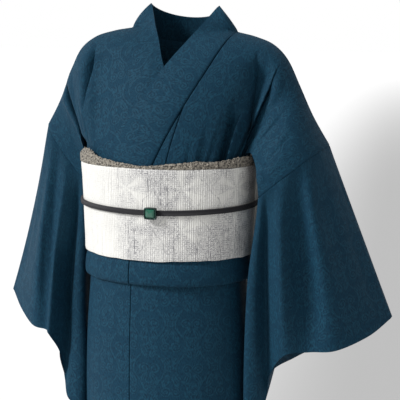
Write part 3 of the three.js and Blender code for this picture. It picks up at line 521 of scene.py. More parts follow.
def make_silk():
    """Teal silk. The scroll is lighter than a clouded ground, has a darker edge and is worn away in places; slubs
    fleck it, and sewn edges and the fold lines below the armpits get painted shade and lose their shine."""
    silk = Recipe("teal silk damask")
    covered = scroll(silk)
    worn = silk.noise(silk.times(silk.u, 0.16), silk.times(silk.v, 0.16), 4.0)
    cloudy = silk.noise(silk.times(silk.u, 0.02), silk.times(silk.v, 0.02), 2.0)
    share = silk.calc("MULTIPLY", covered, silk.calc("MULTIPLY_ADD", worn, 3.6, -1.1, held=True))
    ground = silk.blend(cloudy, SILK_GROUND, SILK_LIGHTER)
    outlined = silk.calc("MULTIPLY", covered, silk.calc("SUBTRACT", 1.0, covered))
    shaded = silk.blend(silk.times(outlined, 3.0), ground, SILK_SHADE)
    figured = silk.blend(share, shaded, SILK_FIGURE)
    slubs = silk.noise(silk.times(silk.u, 0.55), silk.times(silk.v, 0.2), 3.0)
    flecked = silk.blend(silk.calc("MULTIPLY_ADD", slubs, 3.0, -1.3, held=True), figured, SILK_FLECK)
    # Painted shade: sewn edges and the fold lines below the armpits are darkened nearly to black, and lose gloss and
    # sheen.
    sewn = silk.seam_shade()
    colour = silk.blend(silk.times(sewn, 0.95), flecked, SILK_SEAM_SHADE)
    height = silk.calc("MULTIPLY_ADD", covered, 0.5, silk.times(weave(silk, SILK_THREAD), 0.35))
    silk.bumps(silk.calc("MULTIPLY_ADD", worn, 0.9, height), 0.3)
    return silk.finish(
        base_color=colour, roughness=silk.calc("MULTIPLY_ADD", covered, -0.08, 0.8),
        specular_ior_level=silk.calc("MULTIPLY_ADD", sewn, -SILK_GLOSS, SILK_GLOSS),
        sheen_weight=silk.calc("MULTIPLY_ADD", sewn, -SILK_SHEEN, SILK_SHEEN), sheen_roughness=0.45,
        sheen_tint=rgb(150, 180, 205),
    )


SILK = make_silk()


# %% [markdown]
# ## Sash cloth
# The sash is woven from uneven ivory yarn. Dark threads come up in it here and there, mostly upright, and very large
# roundels are only just drawn in the weave. Noise that is stretched along the cloth gives threads that start and
# stop as spun ones do. A plain stripe texture would look printed.

# %% Sash cloth
SASH_IVORY, SASH_GREYER, SASH_THREAD = rgb(231, 230, 225), rgb(222, 221, 218), rgb(88, 88, 98)
SASH_RIB = 3.5
# How far apart the upright and the level threads of the net are, halved.
NET_WIDE, NET_HIGH = 1.75, 1.65
# The roundels: half their repeat across and down, their radius, and how deep and how many their petals are.
ROUNDELS_WIDE, ROUNDELS_HIGH, ROUNDEL, ROUNDEL_WAVE, ROUNDEL_PETALS = 92.0, 84.0, 40.0, 5.0, 6.0
# The dark threads gather between these two places along the sash, and fade over 1 / WINDOW_FADE.
WINDOW_FROM, WINDOW_TO, WINDOW_FADE = 264.0, 560.0, 0.025


def roundels(sash, broken):
    """Where a roundel covers the cloth, the cosine that makes its petals, and its drawn rim and spokes, broken as
    the threads are."""
    x = sash.calc("SUBTRACT", sash.calc("PINGPONG", sash.calc("ADD", sash.u, 30.0), ROUNDELS_WIDE), 46.0)
    y = sash.calc("SUBTRACT", sash.calc("PINGPONG", sash.calc("ADD", sash.v, 18.0), ROUNDELS_HIGH), 50.0)
    far = sash.calc("SQRT", sash.calc("MULTIPLY_ADD", x, x, sash.calc("MULTIPLY", y, y)))
    petals = sash.calc("COSINE", sash.times(sash.calc("ARCTAN2", y, x), ROUNDEL_PETALS))
    edge = sash.calc("MULTIPLY_ADD", petals, ROUNDEL_WAVE, ROUNDEL)
    inside = sash.calc("LESS_THAN", far, edge)
    rim = sash.line(sash.calc("ABSOLUTE", sash.calc("SUBTRACT", far, edge)), 0.5, 1.3)
    spoke = sash.calc("MULTIPLY", sash.line(sash.calc("ABSOLUTE", petals), 0.04, 0.12), inside)
    drawn = sash.calc("MAXIMUM", rim, sash.times(spoke, 0.8))
    return inside, petals, sash.calc("MULTIPLY", drawn, sash.calc("MULTIPLY_ADD", broken, 5.0, -2.0, held=True))


def make_sash_cloth():
    """Ivory cloth with uneven dark upright threads, crossed by thin ones, and faint large roundels."""
    sash = Recipe("ivory slub weave")
    slub = sash.noise(sash.times(sash.u, 0.42), sash.times(sash.v, 0.012), 3.0, w=3.0)
    threads = sash.calc("MULTIPLY_ADD", slub, 6.0, -3.0, held=True)
    broken = sash.noise(sash.times(sash.u, 0.35), sash.times(sash.v, 0.12), 3.0, w=8.0)
    patches = sash.noise(sash.times(sash.u, 0.016), sash.times(sash.v, 0.011), 2.0, w=5.0)
    threads = sash.calc("MULTIPLY", threads, sash.calc("MULTIPLY_ADD", broken, 5.0, -1.9, held=True))
    upright = sash.line(sash.calc("PINGPONG", sash.u, NET_WIDE), 0.2, 0.8)
    level = sash.line(sash.calc("PINGPONG", sash.v, NET_HIGH), 0.15, 0.75)
    speckle = sash.noise(sash.times(sash.u, 0.45), sash.times(sash.v, 0.4), 3.0)
    speckle = sash.calc("MULTIPLY_ADD", speckle, 5.0, -2.0, held=True)
    mesh = sash.calc("MULTIPLY", sash.calc("MAXIMUM", upright, sash.times(level, 0.9)), speckle)
    inside, petals, drawn = roundels(sash, broken)
    window = sash.calc(
        "MULTIPLY", sash.calc("MULTIPLY_ADD", sash.u, WINDOW_FADE, -WINDOW_FADE * WINDOW_FROM, held=True),
        sash.calc("MULTIPLY_ADD", sash.u, -WINDOW_FADE, WINDOW_FADE * WINDOW_TO, held=True),
    )
    busy = sash.calc("MULTIPLY_ADD", patches, 4.0, -1.3, held=True)
    busy = sash.calc("MULTIPLY_ADD", sash.calc("MULTIPLY", inside, petals), 0.34, busy, held=True)
    busy = sash.calc("MULTIPLY", busy, sash.calc("MULTIPLY_ADD", window, 0.85, 0.15))
    lines = sash.calc("MAXIMUM", sash.times(threads, 0.8), sash.times(mesh, 0.85))
    dark = sash.calc("MULTIPLY", lines, sash.calc("MULTIPLY_ADD", busy, 1.0, 0.12))
    dark = sash.calc("MAXIMUM", dark, sash.times(sash.calc("MULTIPLY", drawn, window), 0.55))
    colour = sash.blend(dark, sash.blend(busy, SASH_IVORY, SASH_GREYER), SASH_THREAD)
    ribs = sash.calc("MULTIPLY_ADD", sash.calc("SINE", sash.times(sash.u, 2 * np.pi / SASH_RIB)), 0.5, slub)
    sash.bumps(sash.calc("MULTIPLY_ADD", threads, 0.6, ribs), 0.45)
    return sash.finish(base_color=colour, roughness=0.75, specular_ior_level=0.25, sheen_weight=0.05)


SASH_CLOTH = make_sash_cloth()


# %% [markdown]
# ## Scarf and braid
# The scarf is silk crepe, pinched into small knots by tie-dyeing, so it looks like grey-brown moss from afar. Cells
# of a Voronoi texture stand for the pinches, because each cell rises to a point as a pinch does. The cord is a flat
# braid: its strands slant towards the middle from both edges, which one sine wave gives when it runs along the
# length less the distance from the middle.


# %% Scarf cloth
def make_scarf_cloth():
    """Taupe crepe, pinched all over."""
    scarf = Recipe("taupe pinched crepe")
    cells = scarf.node("ShaderNodeTexVoronoi")
    scarf.join(scarf.place(scarf.times(scarf.u, 0.3), scarf.times(scarf.v, 0.36)), cells.inputs["Vector"])
    cells.inputs["Scale"].default_value = 1.0
    fine = scarf.noise(scarf.times(scarf.u, 0.3), scarf.times(scarf.v, 0.3), 4.0)
    broad = scarf.noise(scarf.times(scarf.u, 0.09), scarf.times(scarf.v, 0.2), 2.0)
    ground = scarf.blend(broad, rgb(122, 117, 108), rgb(178, 170, 156))
    colour = scarf.blend(scarf.calc("MULTIPLY_ADD", fine, 5.0, -2.2, held=True), ground, rgb(46, 43, 40))
    scarf.bumps(scarf.calc("MULTIPLY_ADD", cells.outputs["Distance"], -1.0, fine), 2.6)
    return scarf.finish(base_color=colour, roughness=0.85, specular_ior_level=0.2, sheen_weight=0.2)


SCARF_CLOTH = make_scarf_cloth()

# %% Braid
BRAID_PITCH, BRAID_MIDDLE = 2.4, 6.4


def make_braid():
    """Dark silk braided flat: slanting strands that meet in the middle, with painted shade in the gaps between the
    strands and in the middle groove.
    """
    braid = Recipe("charcoal flat braid")
    middle = braid.calc("ABSOLUTE", braid.calc("SUBTRACT", braid.v, BRAID_MIDDLE))
    slant = braid.calc("SUBTRACT", braid.u, middle)
    strand = braid.calc("SINE", braid.times(slant, 2 * np.pi / BRAID_PITCH))
    ridge = braid.calc("MULTIPLY_ADD", strand, 0.5, 0.5)
    groove = braid.line(middle, 0.1, 0.5)
    # Painted shade: darker where the strands dip between each other and in the middle groove, where the bump also
    # sinks.
    colour = braid.blend(ridge, rgb(14, 14, 19), rgb(30, 29, 36))
    colour = braid.blend(braid.times(groove, 0.5), colour, rgb(16, 15, 18))
    braid.bumps(braid.calc("SUBTRACT", ridge, groove), 0.5)
    return braid.finish(base_color=colour, roughness=0.6, specular_ior_level=0.35, sheen_weight=0.1)


BRAID = make_braid()


# %% [markdown]
# ## Metal and stone of the clasp
# Both are small and polished, so the shader's own gloss does most of the work: a metal with a fairly smooth surface,
# and a hard clear coat over clouded green. These two pieces are solid, so their noise reads the place in space.


# %% Metal and stone
def make_setting():
    """Dark polished metal, a little rubbed."""
    metal = Recipe("dark polished setting")
    where = metal.node("ShaderNodeTexCoord")
    rubbed = metal.node("ShaderNodeTexNoise")
    rubbed.inputs["Scale"].default_value = 260.0
    metal.join(where.outputs["Object"], rubbed.inputs["Vector"])
    colour = metal.blend(rubbed.outputs["Fac"], rgb(26, 42, 42), rgb(66, 84, 80))
    roughness = metal.calc("MULTIPLY_ADD", rubbed.outputs["Fac"], 0.25, 0.14)
    return metal.finish(base_color=colour, roughness=roughness, metallic=0.85)


def make_stone():
    """Polished green stone with soft clouds in it."""
    stone = Recipe("green stone")
    where = stone.node("ShaderNodeTexCoord")
    clouds = stone.node("ShaderNodeTexNoise")
    clouds.inputs["Scale"].default_value = 190.0
    clouds.inputs["Detail"].default_value = 4.0
    stone.join(where.outputs["Object"], clouds.inputs["Vector"])
    colour = stone.blend(clouds.outputs["Fac"], rgb(2, 52, 42), rgb(14, 112, 86))
    return stone.finish(base_color=colour, roughness=0.1, specular_ior_level=0.7, coat_weight=0.6)


SETTING, STONE = make_setting(), make_stone()


# %% [markdown]
# ## The figure the cloth hangs on
# Under a kimono the body is padded to a plain oval, wider than deep, and the shoulders lean a little to the wearer's
# left here. The figure is no mesh: it is a function that every piece of cloth asks for a point at an angle and a
# height, some way off its surface. So the pieces lie over each other at known distances and never need a collision.


# %% Figure
FIGURE = table(
    "z wide front back",
    (-215, 137, 98.5, 100), (-290, 135, 98.5, 100), (-360, 132.5, 98.5, 101), (-410, 134, 101, 107),
    (-500, 141, 105, 119), (-620, 145, 107, 121), (-800, 142, 105, 113), (-1000, 135, 100, 102),
    (-1200, 128, 94, 94), (-1312, 124, 91, 91),
)


def around(angle, z, off):
    """A point `off` outside the oval at height z: (wide + off) sin a, -(deep + off) cos a."""
    figure = through(FIGURE, "z", z)
    a = np.radians(angle)
    deep = np.where(np.cos(a) > 0, figure["front"], figure["back"])
    return stack((figure["wide"] + off) * np.sin(a), -(deep + off) * np.cos(a), z)


print("girth at the sash", round(float(arcs(around(np.linspace(0, 360, 361), -290, 0), 0)[-1])), "mm")

# %% Lean and sides
LEAN_FROM, LEAN_OVER = -215, 195
LEAN_ACROSS, LEAN_DROP = 12, 0.035


def lean(points):
    """The shoulders shift 12 mm to the wearer's left and drop there by 0.035 of their distance out."""
    x, y, z = np.moveaxis(points, -1, 0)
    share = ease((z - LEAN_FROM) / LEAN_OVER)
    return stack(x + LEAN_ACROSS * share, y, z - LEAN_DROP * x * share)


def sided(half, points):
    """Turns points of the left half into this half's own, leaning with the shoulders."""
    return lean(points * np.array([half["side"], 1, 1]))


# %% Chest and sash
PRESSED_FROM, PRESSED_OVER = -170, 19


def chest(x, z):
    """Depth y of the chest: a quarter ellipse from the shoulder down to the sash."""
    down = clamp((NECK[2] - z) / (NECK[2] - BODY_END))
    figure = through(FIGURE, "z", BODY_END)
    across = clamp(np.abs(x) / (figure["wide"] + BODY_OFF))
    bottom = -(figure["front"] + BODY_OFF) * np.sqrt(1 - across**2)
    return mix(NECK[1], bottom, np.sqrt(1 - (1 - down) ** 2))


def pressed(points, off):
    """Pulls what lies under the scarf and the sash back to `off` from the figure: x and y shrink by 1 less one
    over the share of the oval that they reach."""
    x, y, z = np.moveaxis(points, -1, 0)
    figure = through(FIGURE, "z", z)
    deep = np.where(y < 0, figure["front"], figure["back"]) + off
    reach = np.hypot(x / (figure["wide"] + off), y / deep)
    pull = ease((PRESSED_FROM - z) / PRESSED_OVER) * np.maximum(0, 1 - 1 / np.maximum(reach, 1e-6))
    return stack(x * (1 - pull), y * (1 - pull), z)


# %% [markdown]
# ## Bodice
# A kimono has no shoulder seam: each half is one length of cloth that goes over the shoulder, is sewn at the centre
# back and is left open in front. Above the sash it hangs from the crest of the shoulder like a curtain. So the
# surface is a row of ribs, each a quarter ellipse: `u` runs along the crest, 0 at the collar and 1 at the sleeve
# seam, and `t` down the rib. Sculpting would give a livelier surface, but not one that meets its neighbours.


# %% Crest and ribs
CREST = table(
    "at x y z",
    (0, 94, 60, 4), (0.2, 128, 58, -3), (0.38, 160, 52, -15), (0.52, 184, 46, -37), (0.66, 206, 43, -77),
    (0.83, 232, 47, -128), (1, 262, 55, -178),
)
CREST_END_X, CREST_END_Z = 262, -178
# Ribs up to this share of the crest end at the sash, the others under the arm. Those near it have a knee: they
# stop curving at the height KNEE and hang straight down from there.
SIDE_AT = 0.6
KNEE, KNEE_SHARE = -203.0, 9 / 11


def crest(half, u):
    """The shoulder's crest from its table, bent past 0.4 so that it ends at this half's sleeve seam."""
    p = through(CREST, "at", u)
    arm = ease((u - 0.4) / 0.6)
    kink_x, kink_z = half["kink"]
    return stack(p["x"] + (kink_x - CREST_END_X) * arm, p["y"], p["z"] + (kink_z - CREST_END_Z) * arm)


def rib(top, bottom, turn, full):
    """A quarter ellipse from top to bottom: sideways and down with 1 - cos, outwards with sin to the `full`."""
    drop, out = 1 - np.cos(turn), np.sin(turn) ** full
    return stack(
        mix(top[..., 0], bottom[..., 0], drop),
        mix(top[..., 1], bottom[..., 1], out),
        mix(top[..., 2], bottom[..., 2], drop),
    )


def fullness(u):
    """The power of a rib's sine: 1 near the neck, falling to 0.8, which is fuller, towards the sleeve."""
    return mix(1, 0.8, ease((u - 0.5) / 0.4))


def knee(u):
    """Where each rib stops curving and hangs straight: its height, and the share of the rib above it."""
    weight = ease((u - 0.3) / 0.25) * (u <= SIDE_AT)
    return mix(BODY_END, KNEE, weight), mix(1.0, KNEE_SHARE, weight)


def hung(u, t, top, bottom_at):
    """A rib with its knee: the point, and how far down the curve it is."""
    knee_z, share = knee(u)
    turn = clamp(t / share) * np.pi / 2
    hang = clamp((t - share) / np.maximum(1 - share, 1e-6)) * (share < 1)
    p = rib(top, bottom_at(knee_z), turn, fullness(u))
    p[..., 2] = mix(p[..., 2], BODY_END, hang)
    return p, 1 - np.cos(turn)


for half in (LEFT, RIGHT):
    print("crest ends at x, y, z", np.round(crest(half, np.array(1.0))).tolist())

# %% [markdown]
# ## Folds and creases
# Worn cloth has two kinds of line: soft folds where it hangs loose, and sharp creases where the sash gathers it or
# the arm pulls it. Both are bells across the ribs that fade in and out on their way down, added to the depth of the
# surface. They are real shape, so they also show in the outline and under another light. A bump map would not.


# %% Folds and creases
FRONT_FOLDS = {
    1: table(
        "at depth width start",
        (0.575, 12, 0.07, 0.1), (0.34, 7, 0.045, 0.4), (0.44, 9, 0.045, 0.35), (0.22, 3, 0.03, 0.55),
        (0.8, 5, 0.06, 0.2),
    ),
    -1: table("at depth width start", (0.7, 9, 0.06, 0.1), (0.45, 6, 0.04, 0.5), (0.8, 3, 0.06, 0.25)),
}
BACK_FOLDS = table("at depth width start", (0.56, 9, 0.09, 0.1), (0.34, 5, 0.05, 0.45), (0.45, 4, 0.05, 0.4))
CREASES = {
    1: table(
        "at depth width start end slant",
        (0.13, 2.2, 0.006, 0.60, 0.93, -0.05), (0.19, 3.0, 0.006, 0.52, 0.96, -0.03),
        (0.24, 3.6, 0.006, 0.44, 0.97, 0.02), (0.325, 27.0, 0.007, 0.36, 0.98, -0.10),
        (0.41, -9.0, 0.004, 0.4, 0.98, -0.10), (0.485, 20.0, 0.009, 0.5, 0.98, -0.06),
        (0.585, 11.0, 0.009, 0.15, 1.2, -0.09), (0.7, 2.6, 0.01, 0.25, 0.8, 0.02),
        (0.86, 2.2, 0.012, 0.2, 0.85, -0.04),
    ),
    -1: table(
        "at depth width start end slant",
        (0.33, 1.8, 0.02, 0.62, 0.95, 0.02), (0.41, 2.6, 0.02, 0.5, 0.97, 0.05), (0.5, 3.6, 0.022, 0.4, 0.98, 0.05),
        (0.6, 18.0, 0.018, 0.0, 1.2, 0.14), (0.645, -11.0, 0.028, 0.0, 1.2, 0.14),
        (0.87, 2.0, 0.035, 0.4, 0.9, -0.03),
    ),
}
BACK_CREASES = table(
    "at depth width start end slant",
    (0.12, 1.6, 0.02, 0.6, 0.97, 0.02), (0.24, 2.4, 0.02, 0.5, 0.97, 0.03), (0.4, 3.0, 0.02, 0.42, 0.98, 0.03),
    (0.52, 3.4, 0.022, 0.4, 0.98, 0.04), (0.74, 2.4, 0.03, 0.3, 0.8, -0.03),
)


def fold_depth(folds, u, down):
    """Soft folds: for each, its depth times a bell across and a soft start on the way down."""
    total = 0.0
    for at, depth, width, start in zip(*(folds[name] for name in ("at", "depth", "width", "start"))):
        total = total + depth * bump(u, at, width) * ease((down - start) / (0.85 - start))
    return total


def crease_depth(rows, u, down, lopsided=1.0):
    """Narrower creases that start and end softly and slant as they run down. The far side of each is `lopsided`
    times as wide as the near side."""
    total = 0.0
    for at, depth, width, start, end, slant in zip(*rows.values()):
        along = ease((down - start) / 0.22) * (1 - ease((down - end) / 0.06))
        past = u - (at + slant * (1 - down))
        total = total + depth * bump(past, 0, np.where(past > 0, lopsided * width, width)) * along
    return total


print("front creases:", len(CREASES[1]["at"]), "on the wearer's left,", len(CREASES[-1]["at"]), "on the right")


# %% [markdown]
# ## Fronts
# A front does two things at once: near the middle it lies smoothly over the chest, and beyond the armpit it is the
# beginning of the sleeve and hangs free. So each point is a blend of the chest's curve and its own rib. The outer
# front is also lifted a few millimetres, because the other one lies under it.


# %% Fronts
FRONT_EDGE_OUT = table(
    "at out x y z",
    (0.6, 0, 136, -28, -203), (0.65, 0, 141, -27, -196), (0.7, 0.2, 153, -31, -194),
    (0.78, 0.6, 164, -46, -211), (0.88, 0.9, 170, -57, -232), (1, 1, 174, -60, -262),
)
FRONT_UNDER_X, FRONT_UNDER_Y = 174, -60
# How far the figure and the cloth reach to the side under the sash, for the angle of a front's first rib.
SIDE_REACH = 141
SIDE_FRONT = 74.0
GUSSET_BEND = -15.5
CHEST_OVER, CHEST_GROWN = 0.2, 0.25
# The full place of the chest beside the armpit: where it is, how wide, and how it comes and goes on the way down.
RISE_AT, RISE_WIDE, RISE_GROWN, RISE_FADES, RISE_OVER = 0.36, 0.085, 0.17, 0.35, 0.45
LIFT_GROWN, LIFT_FADES, LIFT_OVER = 0.2, 0.4, 0.15


def edge_out(half, rows, u):
    """Where the ribs past the sash end: the table's point, moved by its share `out` of this half's own shift."""
    p = through(rows, "at", u)
    under_x, under_y = half["under"]
    return stack(p["x"] + (under_x - FRONT_UNDER_X) * p["out"], p["y"] + (under_y - FRONT_UNDER_Y) * p["out"], p["z"])


def front_of(half, u, t):
    """A point of a front: its rib, blended into the chest near the middle, plus folds and creases, less the rise
    of the chest and the lift of the outer front, and pressed to the figure under the sash."""
    start = GUSSET_X if half is LEFT else SEAM_END
    first = np.degrees(np.arcsin(start / SIDE_REACH))

    def bottom(knee_z):
        """The rib's lower end: on the figure as far as SIDE_AT, past it on the edge under the arm."""
        over_sash = around(mix(first, SIDE_FRONT, u / SIDE_AT), knee_z, BODY_OFF)
        return np.where((u <= SIDE_AT)[..., None], over_sash, edge_out(half, FRONT_EDGE_OUT, u))

    p, down = hung(u, t, crest(half, u), bottom)
    x, y, z = np.moveaxis(p, -1, 0)
    if half is LEFT:
        tip = (NECK[2] - GUSSET_TIP) / (NECK[2] - BODY_END)
        bend = np.where(down < tip, down / tip, (1 - down) / (1 - tip))
        x = x + GUSSET_BEND * bend * (1 - ease(u / 0.35))
    torso = (1 - ease((u - half["chest_to"]) / CHEST_OVER)) * ease(down / CHEST_GROWN)
    y = mix(y, chest(x, z), torso) + fold_depth(FRONT_FOLDS[half["side"]], u, down)
    rise = bump(u, RISE_AT, RISE_WIDE) * ease(down / RISE_GROWN) * (1 - ease((down - RISE_FADES) / RISE_OVER))
    y = y - half["rise"] * rise
    y = y + crease_depth(CREASES[half["side"]], u, down, half["lopsided"])
    lift = half["lift"] * ease(down / LIFT_GROWN) * (1 - ease((u - LIFT_FADES) / LIFT_OVER))
    p = stack(x, y - lift, z)
    return np.where((u > SIDE_AT)[..., None], p, pressed(p, BODY_OFF + lift))


# %% [markdown]
# ## Backs
# A back runs from the centre seam round the neck and along the crest to the sleeve. It is made as the fronts are,
# with the neck's seam as the first part of its top edge. Each back stops just short of the middle plane, so that the
# two meet at the centre seam without cutting through each other.


# %% Backs
BACK_EDGE_OUT = table(
    "at out x y z",
    (0.6, 0, 125, 49, -203), (0.65, 0, 138, 55, -192), (0.7, 0, 150, 61, -188),
    (0.78, 0, 158, 66, -196), (0.88, 0, 164, 74, -225), (1, 0, 168, 80, -262),
)
# The share of a back's top edge that goes round the neck, the angle of its last rib over the sash, how full the back
# is between the shoulder and the sash, and the gap left at the centre seam.
NECK_SHARE, SIDE_BACK = 0.2, 118.0
BACK_FULL, CENTRE_GAP = 9, 0.15


def neck_seam(angle):
    """The neck's seam round the nape: a quarter ellipse from the shoulder (0) to the centre back (90)."""
    a = np.radians(angle)
    return stack(NECK[0] * np.cos(a), mix(NECK[1], NAPE_Y, np.sin(a)), mix(NECK[2], NAPE_Z, np.sin(a)))


def back_of(half, w, t):
    """A point of the back: w runs from the centre seam, round the neck and along the crest to the sleeve."""
    on_neck = w < NECK_SHARE
    u = clamp((w - NECK_SHARE) / (1 - NECK_SHARE))
    top = np.where(on_neck[..., None], neck_seam(90 - 90 * clamp(w / NECK_SHARE)), crest(half, u))

    def bottom(knee_z):
        """The rib's lower end: on the figure as far as SIDE_AT, past it on the edge under the arm."""
        over_sash = around(mix(180, SIDE_BACK, w / SIDE_AT), knee_z, BODY_OFF)
        return np.where((w <= SIDE_AT)[..., None], over_sash, edge_out(half, BACK_EDGE_OUT, w))

    p, down = hung(w, t, top, bottom)
    full = BACK_FULL * np.sin(np.pi * down) * (1 - ease((w - 0.35) / 0.25))
    p[..., 1] += full - fold_depth(BACK_FOLDS, w, down)
    p[..., 1] -= crease_depth(BACK_CREASES, w, down)
    p = np.where((w > SIDE_AT)[..., None], p, pressed(p, BODY_OFF))
    p[..., 0] = np.maximum(p[..., 0], CENTRE_GAP)
    return p


def bridged(surface, half, u, t, beyond):
    """Past the side of the sash the cloth runs straight across to the first rib that hangs over the scarf."""
    near = surface(half, np.minimum(u, SIDE_AT), t)
    over = surface(half, np.where(u > SIDE_AT, np.maximum(u, beyond), 1.0), t)
    share = clamp((u - SIDE_AT) / (beyond - SIDE_AT))[..., None]
    return mix(near, over, share)


# %% [markdown]
# ## The two halves
# Front and back of one half are two grids that share the crest, so they weld into one cloth. At the side they run
# straight over the edge of the sash to the part under the arm. The deep fold below each armpit lies in its own
# shade, which soft lamps hardly give, so it also carries a thin dark line, drawn as the seams are.


# %% Bodice pieces
FRONT_BEYOND, BACK_BEYOND = 0.65, 0.632
# The painted shade in the sleeve's seam is narrower than in the others, so its distance starts at this.
NARROW_SEAM_SHADE = 0.9
# The painted shade in the fold below the armpit fades in over this share of the way down.
FOLD_SHADE_GROWN = 0.1


def bodice(half, name, node):
    """One half: front and back as two grids that meet along the crest. The front also has a line of painted shade in
    the fold below the armpit: the distance across the fold in widths, plus 2 at the shoulder, where the line fades
    out."""
    u, t = np.meshgrid(close_to_edges(130, 0, 1), close_to_edges(70), indexing="ij")
    front = sided(half, bridged(front_of, half, u, t, FRONT_BEYOND))
    back = sided(half, bridged(back_of, half, u, t, BACK_BEYOND))
    outward = half["side"] < 0
    grids = [
        sunk(cloth_grid(front, flip=not outward, seams="r" if outward else "lr", start=(11, 0))),
        sunk(cloth_grid(back, flip=outward, seams="lr", start=(31, 0))),
    ]
    # Near the sleeve seam the painted shade is narrower.
    for grid in grids:
        grid["seam"] += NARROW_SEAM_SHADE * (u > 0.9)
    # Painted shade in the fold below the armpit: its distance in widths joins the seams' distance, so the silk darkens
    # it as it darkens the seams.
    fold_at, fold_slant, fold_wide = half["armpit"]
    down = 1 - np.cos(t * np.pi / 2)
    shade_from_fold = np.abs(u - fold_at - fold_slant * (1 - down)) / fold_wide
    shade_from_fold = shade_from_fold + 2 * (1 - ease(down / FOLD_SHADE_GROWN))
    grids[0]["seam"] = np.minimum(grids[0]["seam"], shade_from_fold)
    return make_piece(name, grids, SILK, [node], CLOTH, 1, "hung")


bodice(LEFT, "bodice_left_cloth", "bodice_left")
bodice(RIGHT, "bodice_right_cloth", "bodice_right")


# %% [markdown]
# ## Front gusset
# A kimono's front is widened by a long gusset between the body panel and the collar. Above the sash only its tip
# shows, as a narrow wedge on the wearer's left. It lies on the chest between the collar's seam and the front's first
# rib, so both its edges are asked from those two pieces.


# %% Gusset
def gusset():
    """The wedge: at each height, straight across from the collar's seam to the front's edge, on the chest."""
    s, t = np.meshgrid(close_to_edges(10, 0, 1), np.linspace(0.004, 1, 50), indexing="ij")
    z = mix(GUSSET_TIP, BODY_END, t)
    down = (NECK[2] - z) / (NECK[2] - BODY_END)
    collar_x = mix(NECK[0], SEAM_END, down)
    edge = front_of(LEFT, np.zeros_like(z), np.arccos(clamp(1 - down)) / (np.pi / 2))[..., 0]
    x = mix(collar_x, edge, s)
    grid = cloth_grid(lean(stack(x, chest(x, z) - LEFT["lift"], z)), flip=True, seams="r")
    # The gusset's seam is sunk and its painted shade drawn twice as wide as other seams.
    grid["seam"] /= 2
    return make_piece("gusset_left_cloth", [sunk(grid)], SILK, ["gusset_left"], CLOTH, 1, "hung")


gusset()


# %% [markdown]
# ## Collar
# The collar is one band, folded double, that runs from the sash over one shoulder, round the nape and down to the
# sash again. It is stiff, so it spans straight from shoulder to chest, and at the nape it stands off the neck. It is
# one grid across three stretches, so that no seam breaks the band at the shoulders.


# %% The collar's surface
# The folded edge: its x and z at the shoulder, its depth and height at the nape, and the depth and height of the
# point where the two sides cross.
EDGE_X, EDGE_Z = 60.0, 47.0
EDGE_NAPE_Y, EDGE_NAPE_Z = 106.0, 25.0
CROSS_Y, CROSS_Z = -43.0, -57.0
# The inner side is tucked in under the outer one, from this x on and over this width.
TUCK, TUCK_FROM, TUCK_OVER = 20, 40, 110


def collar_front(half, down, across):
    """Across 0 is the sewn edge and 1 the folded edge; down runs from the shoulder to the sash. The sewn edge
    follows the chest and the first rib, the folded edge the straight line to the crossing where that is further
    forward."""
    bow = half["collar_bow"] * across * 4 * down * (1 - down)
    seam_x = mix(NECK[0], SEAM_END, down)
    seam_z = mix(NECK[2], BODY_END, down)
    x = mix(seam_x, mix(EDGE_X, EDGE_END, down), across) + bow
    z = mix(seam_z, mix(EDGE_Z, BODY_END, down), across)
    on_chest = chest(x, z)
    straight = mix(NECK[1], CROSS_Y, (EDGE_Z - z) / (EDGE_Z - CROSS_Z))
    y = np.where(z > CROSS_Z, mix(on_chest, np.minimum(on_chest, straight), across), on_chest)
    tuck = TUCK * ease((TUCK_FROM - x) / TUCK_OVER) if half is RIGHT else 0.0
    lift = half["lift"] * ease(down / LIFT_GROWN)
    turn = np.arccos(clamp(1 - down))
    first_rib = rib(crest(half, 0 * down), around(0 * down, BODY_END + 0 * down, BODY_OFF), turn, 1.0)
    stands = (first_rib[..., 1] - chest(seam_x, z[:, :1])) * (1 - ease(down / 0.25))
    y = y + np.minimum(stands, 0) * (1 - across) ** 2
    return sided(half, pressed(stack(x, y + tuck - lift, z), BODY_OFF + lift))


def collar_nape(angle, across):
    """Straight across from the neck's seam to the folded edge, which runs round as a half ellipse of its own."""
    a = np.radians(angle)
    edge = stack(
        EDGE_X * np.cos(a), mix(NECK[1], EDGE_NAPE_Y, np.sin(a)), mix(EDGE_Z, EDGE_NAPE_Z, np.sin(a))
    )
    return lean(mix(neck_seam(angle), edge, across[..., None]))


# %% Collar piece
COLLAR_CROWN = 0.9


def collar():
    """Both fronts and the nape as one grid, raised between its edges by a half sine, as a band folded double is.
    Only the outer side's sewn edge is sunk and carries painted shade."""
    across = close_to_edges(12, 0)
    down, a1 = np.meshgrid(np.linspace(1, 0, 90), across, indexing="ij")
    angle, a2 = np.meshgrid(np.linspace(0, 180, 60)[1:-1], across, indexing="ij")
    points = np.concatenate([collar_front(LEFT, down, a1), collar_nape(angle, a2), collar_front(RIGHT, 1 - down, a1)])
    crown = np.sin(np.pi * np.concatenate([a1, a2, a1])) * COLLAR_CROWN
    points = points + normals_of(points) * crown[..., None]
    grid = cloth_grid(points, seams="t")
    # The outer side's sewn edge is sunk and gets painted shade four times as wide as other seams; the inner side's
    # gets neither.
    grid["seam"][len(points) // 2 :] = 99
    grid["seam"] /= 4
    return make_piece("collar_cloth", [sunk(grid, 1.2, 1.4)], SILK, ["collar"], COLLAR_WALL, 1, "folded")


collar()


# %% [markdown]
# ## Sleeves
# A kimono's sleeve is a wide flat bag: sewn to the body from the shoulder down, open below the underarm towards the
# body, open at the wrist, and sewn shut along its lower edge. Worn, it hangs from the arm and swings open into a tube.
# Some twenty lines run down that tube from the armhole to the lower edge, each with a bow, and every section is a
# smooth curve through them. That keeps the folds where the arm makes them, and costs no more than two short tables.


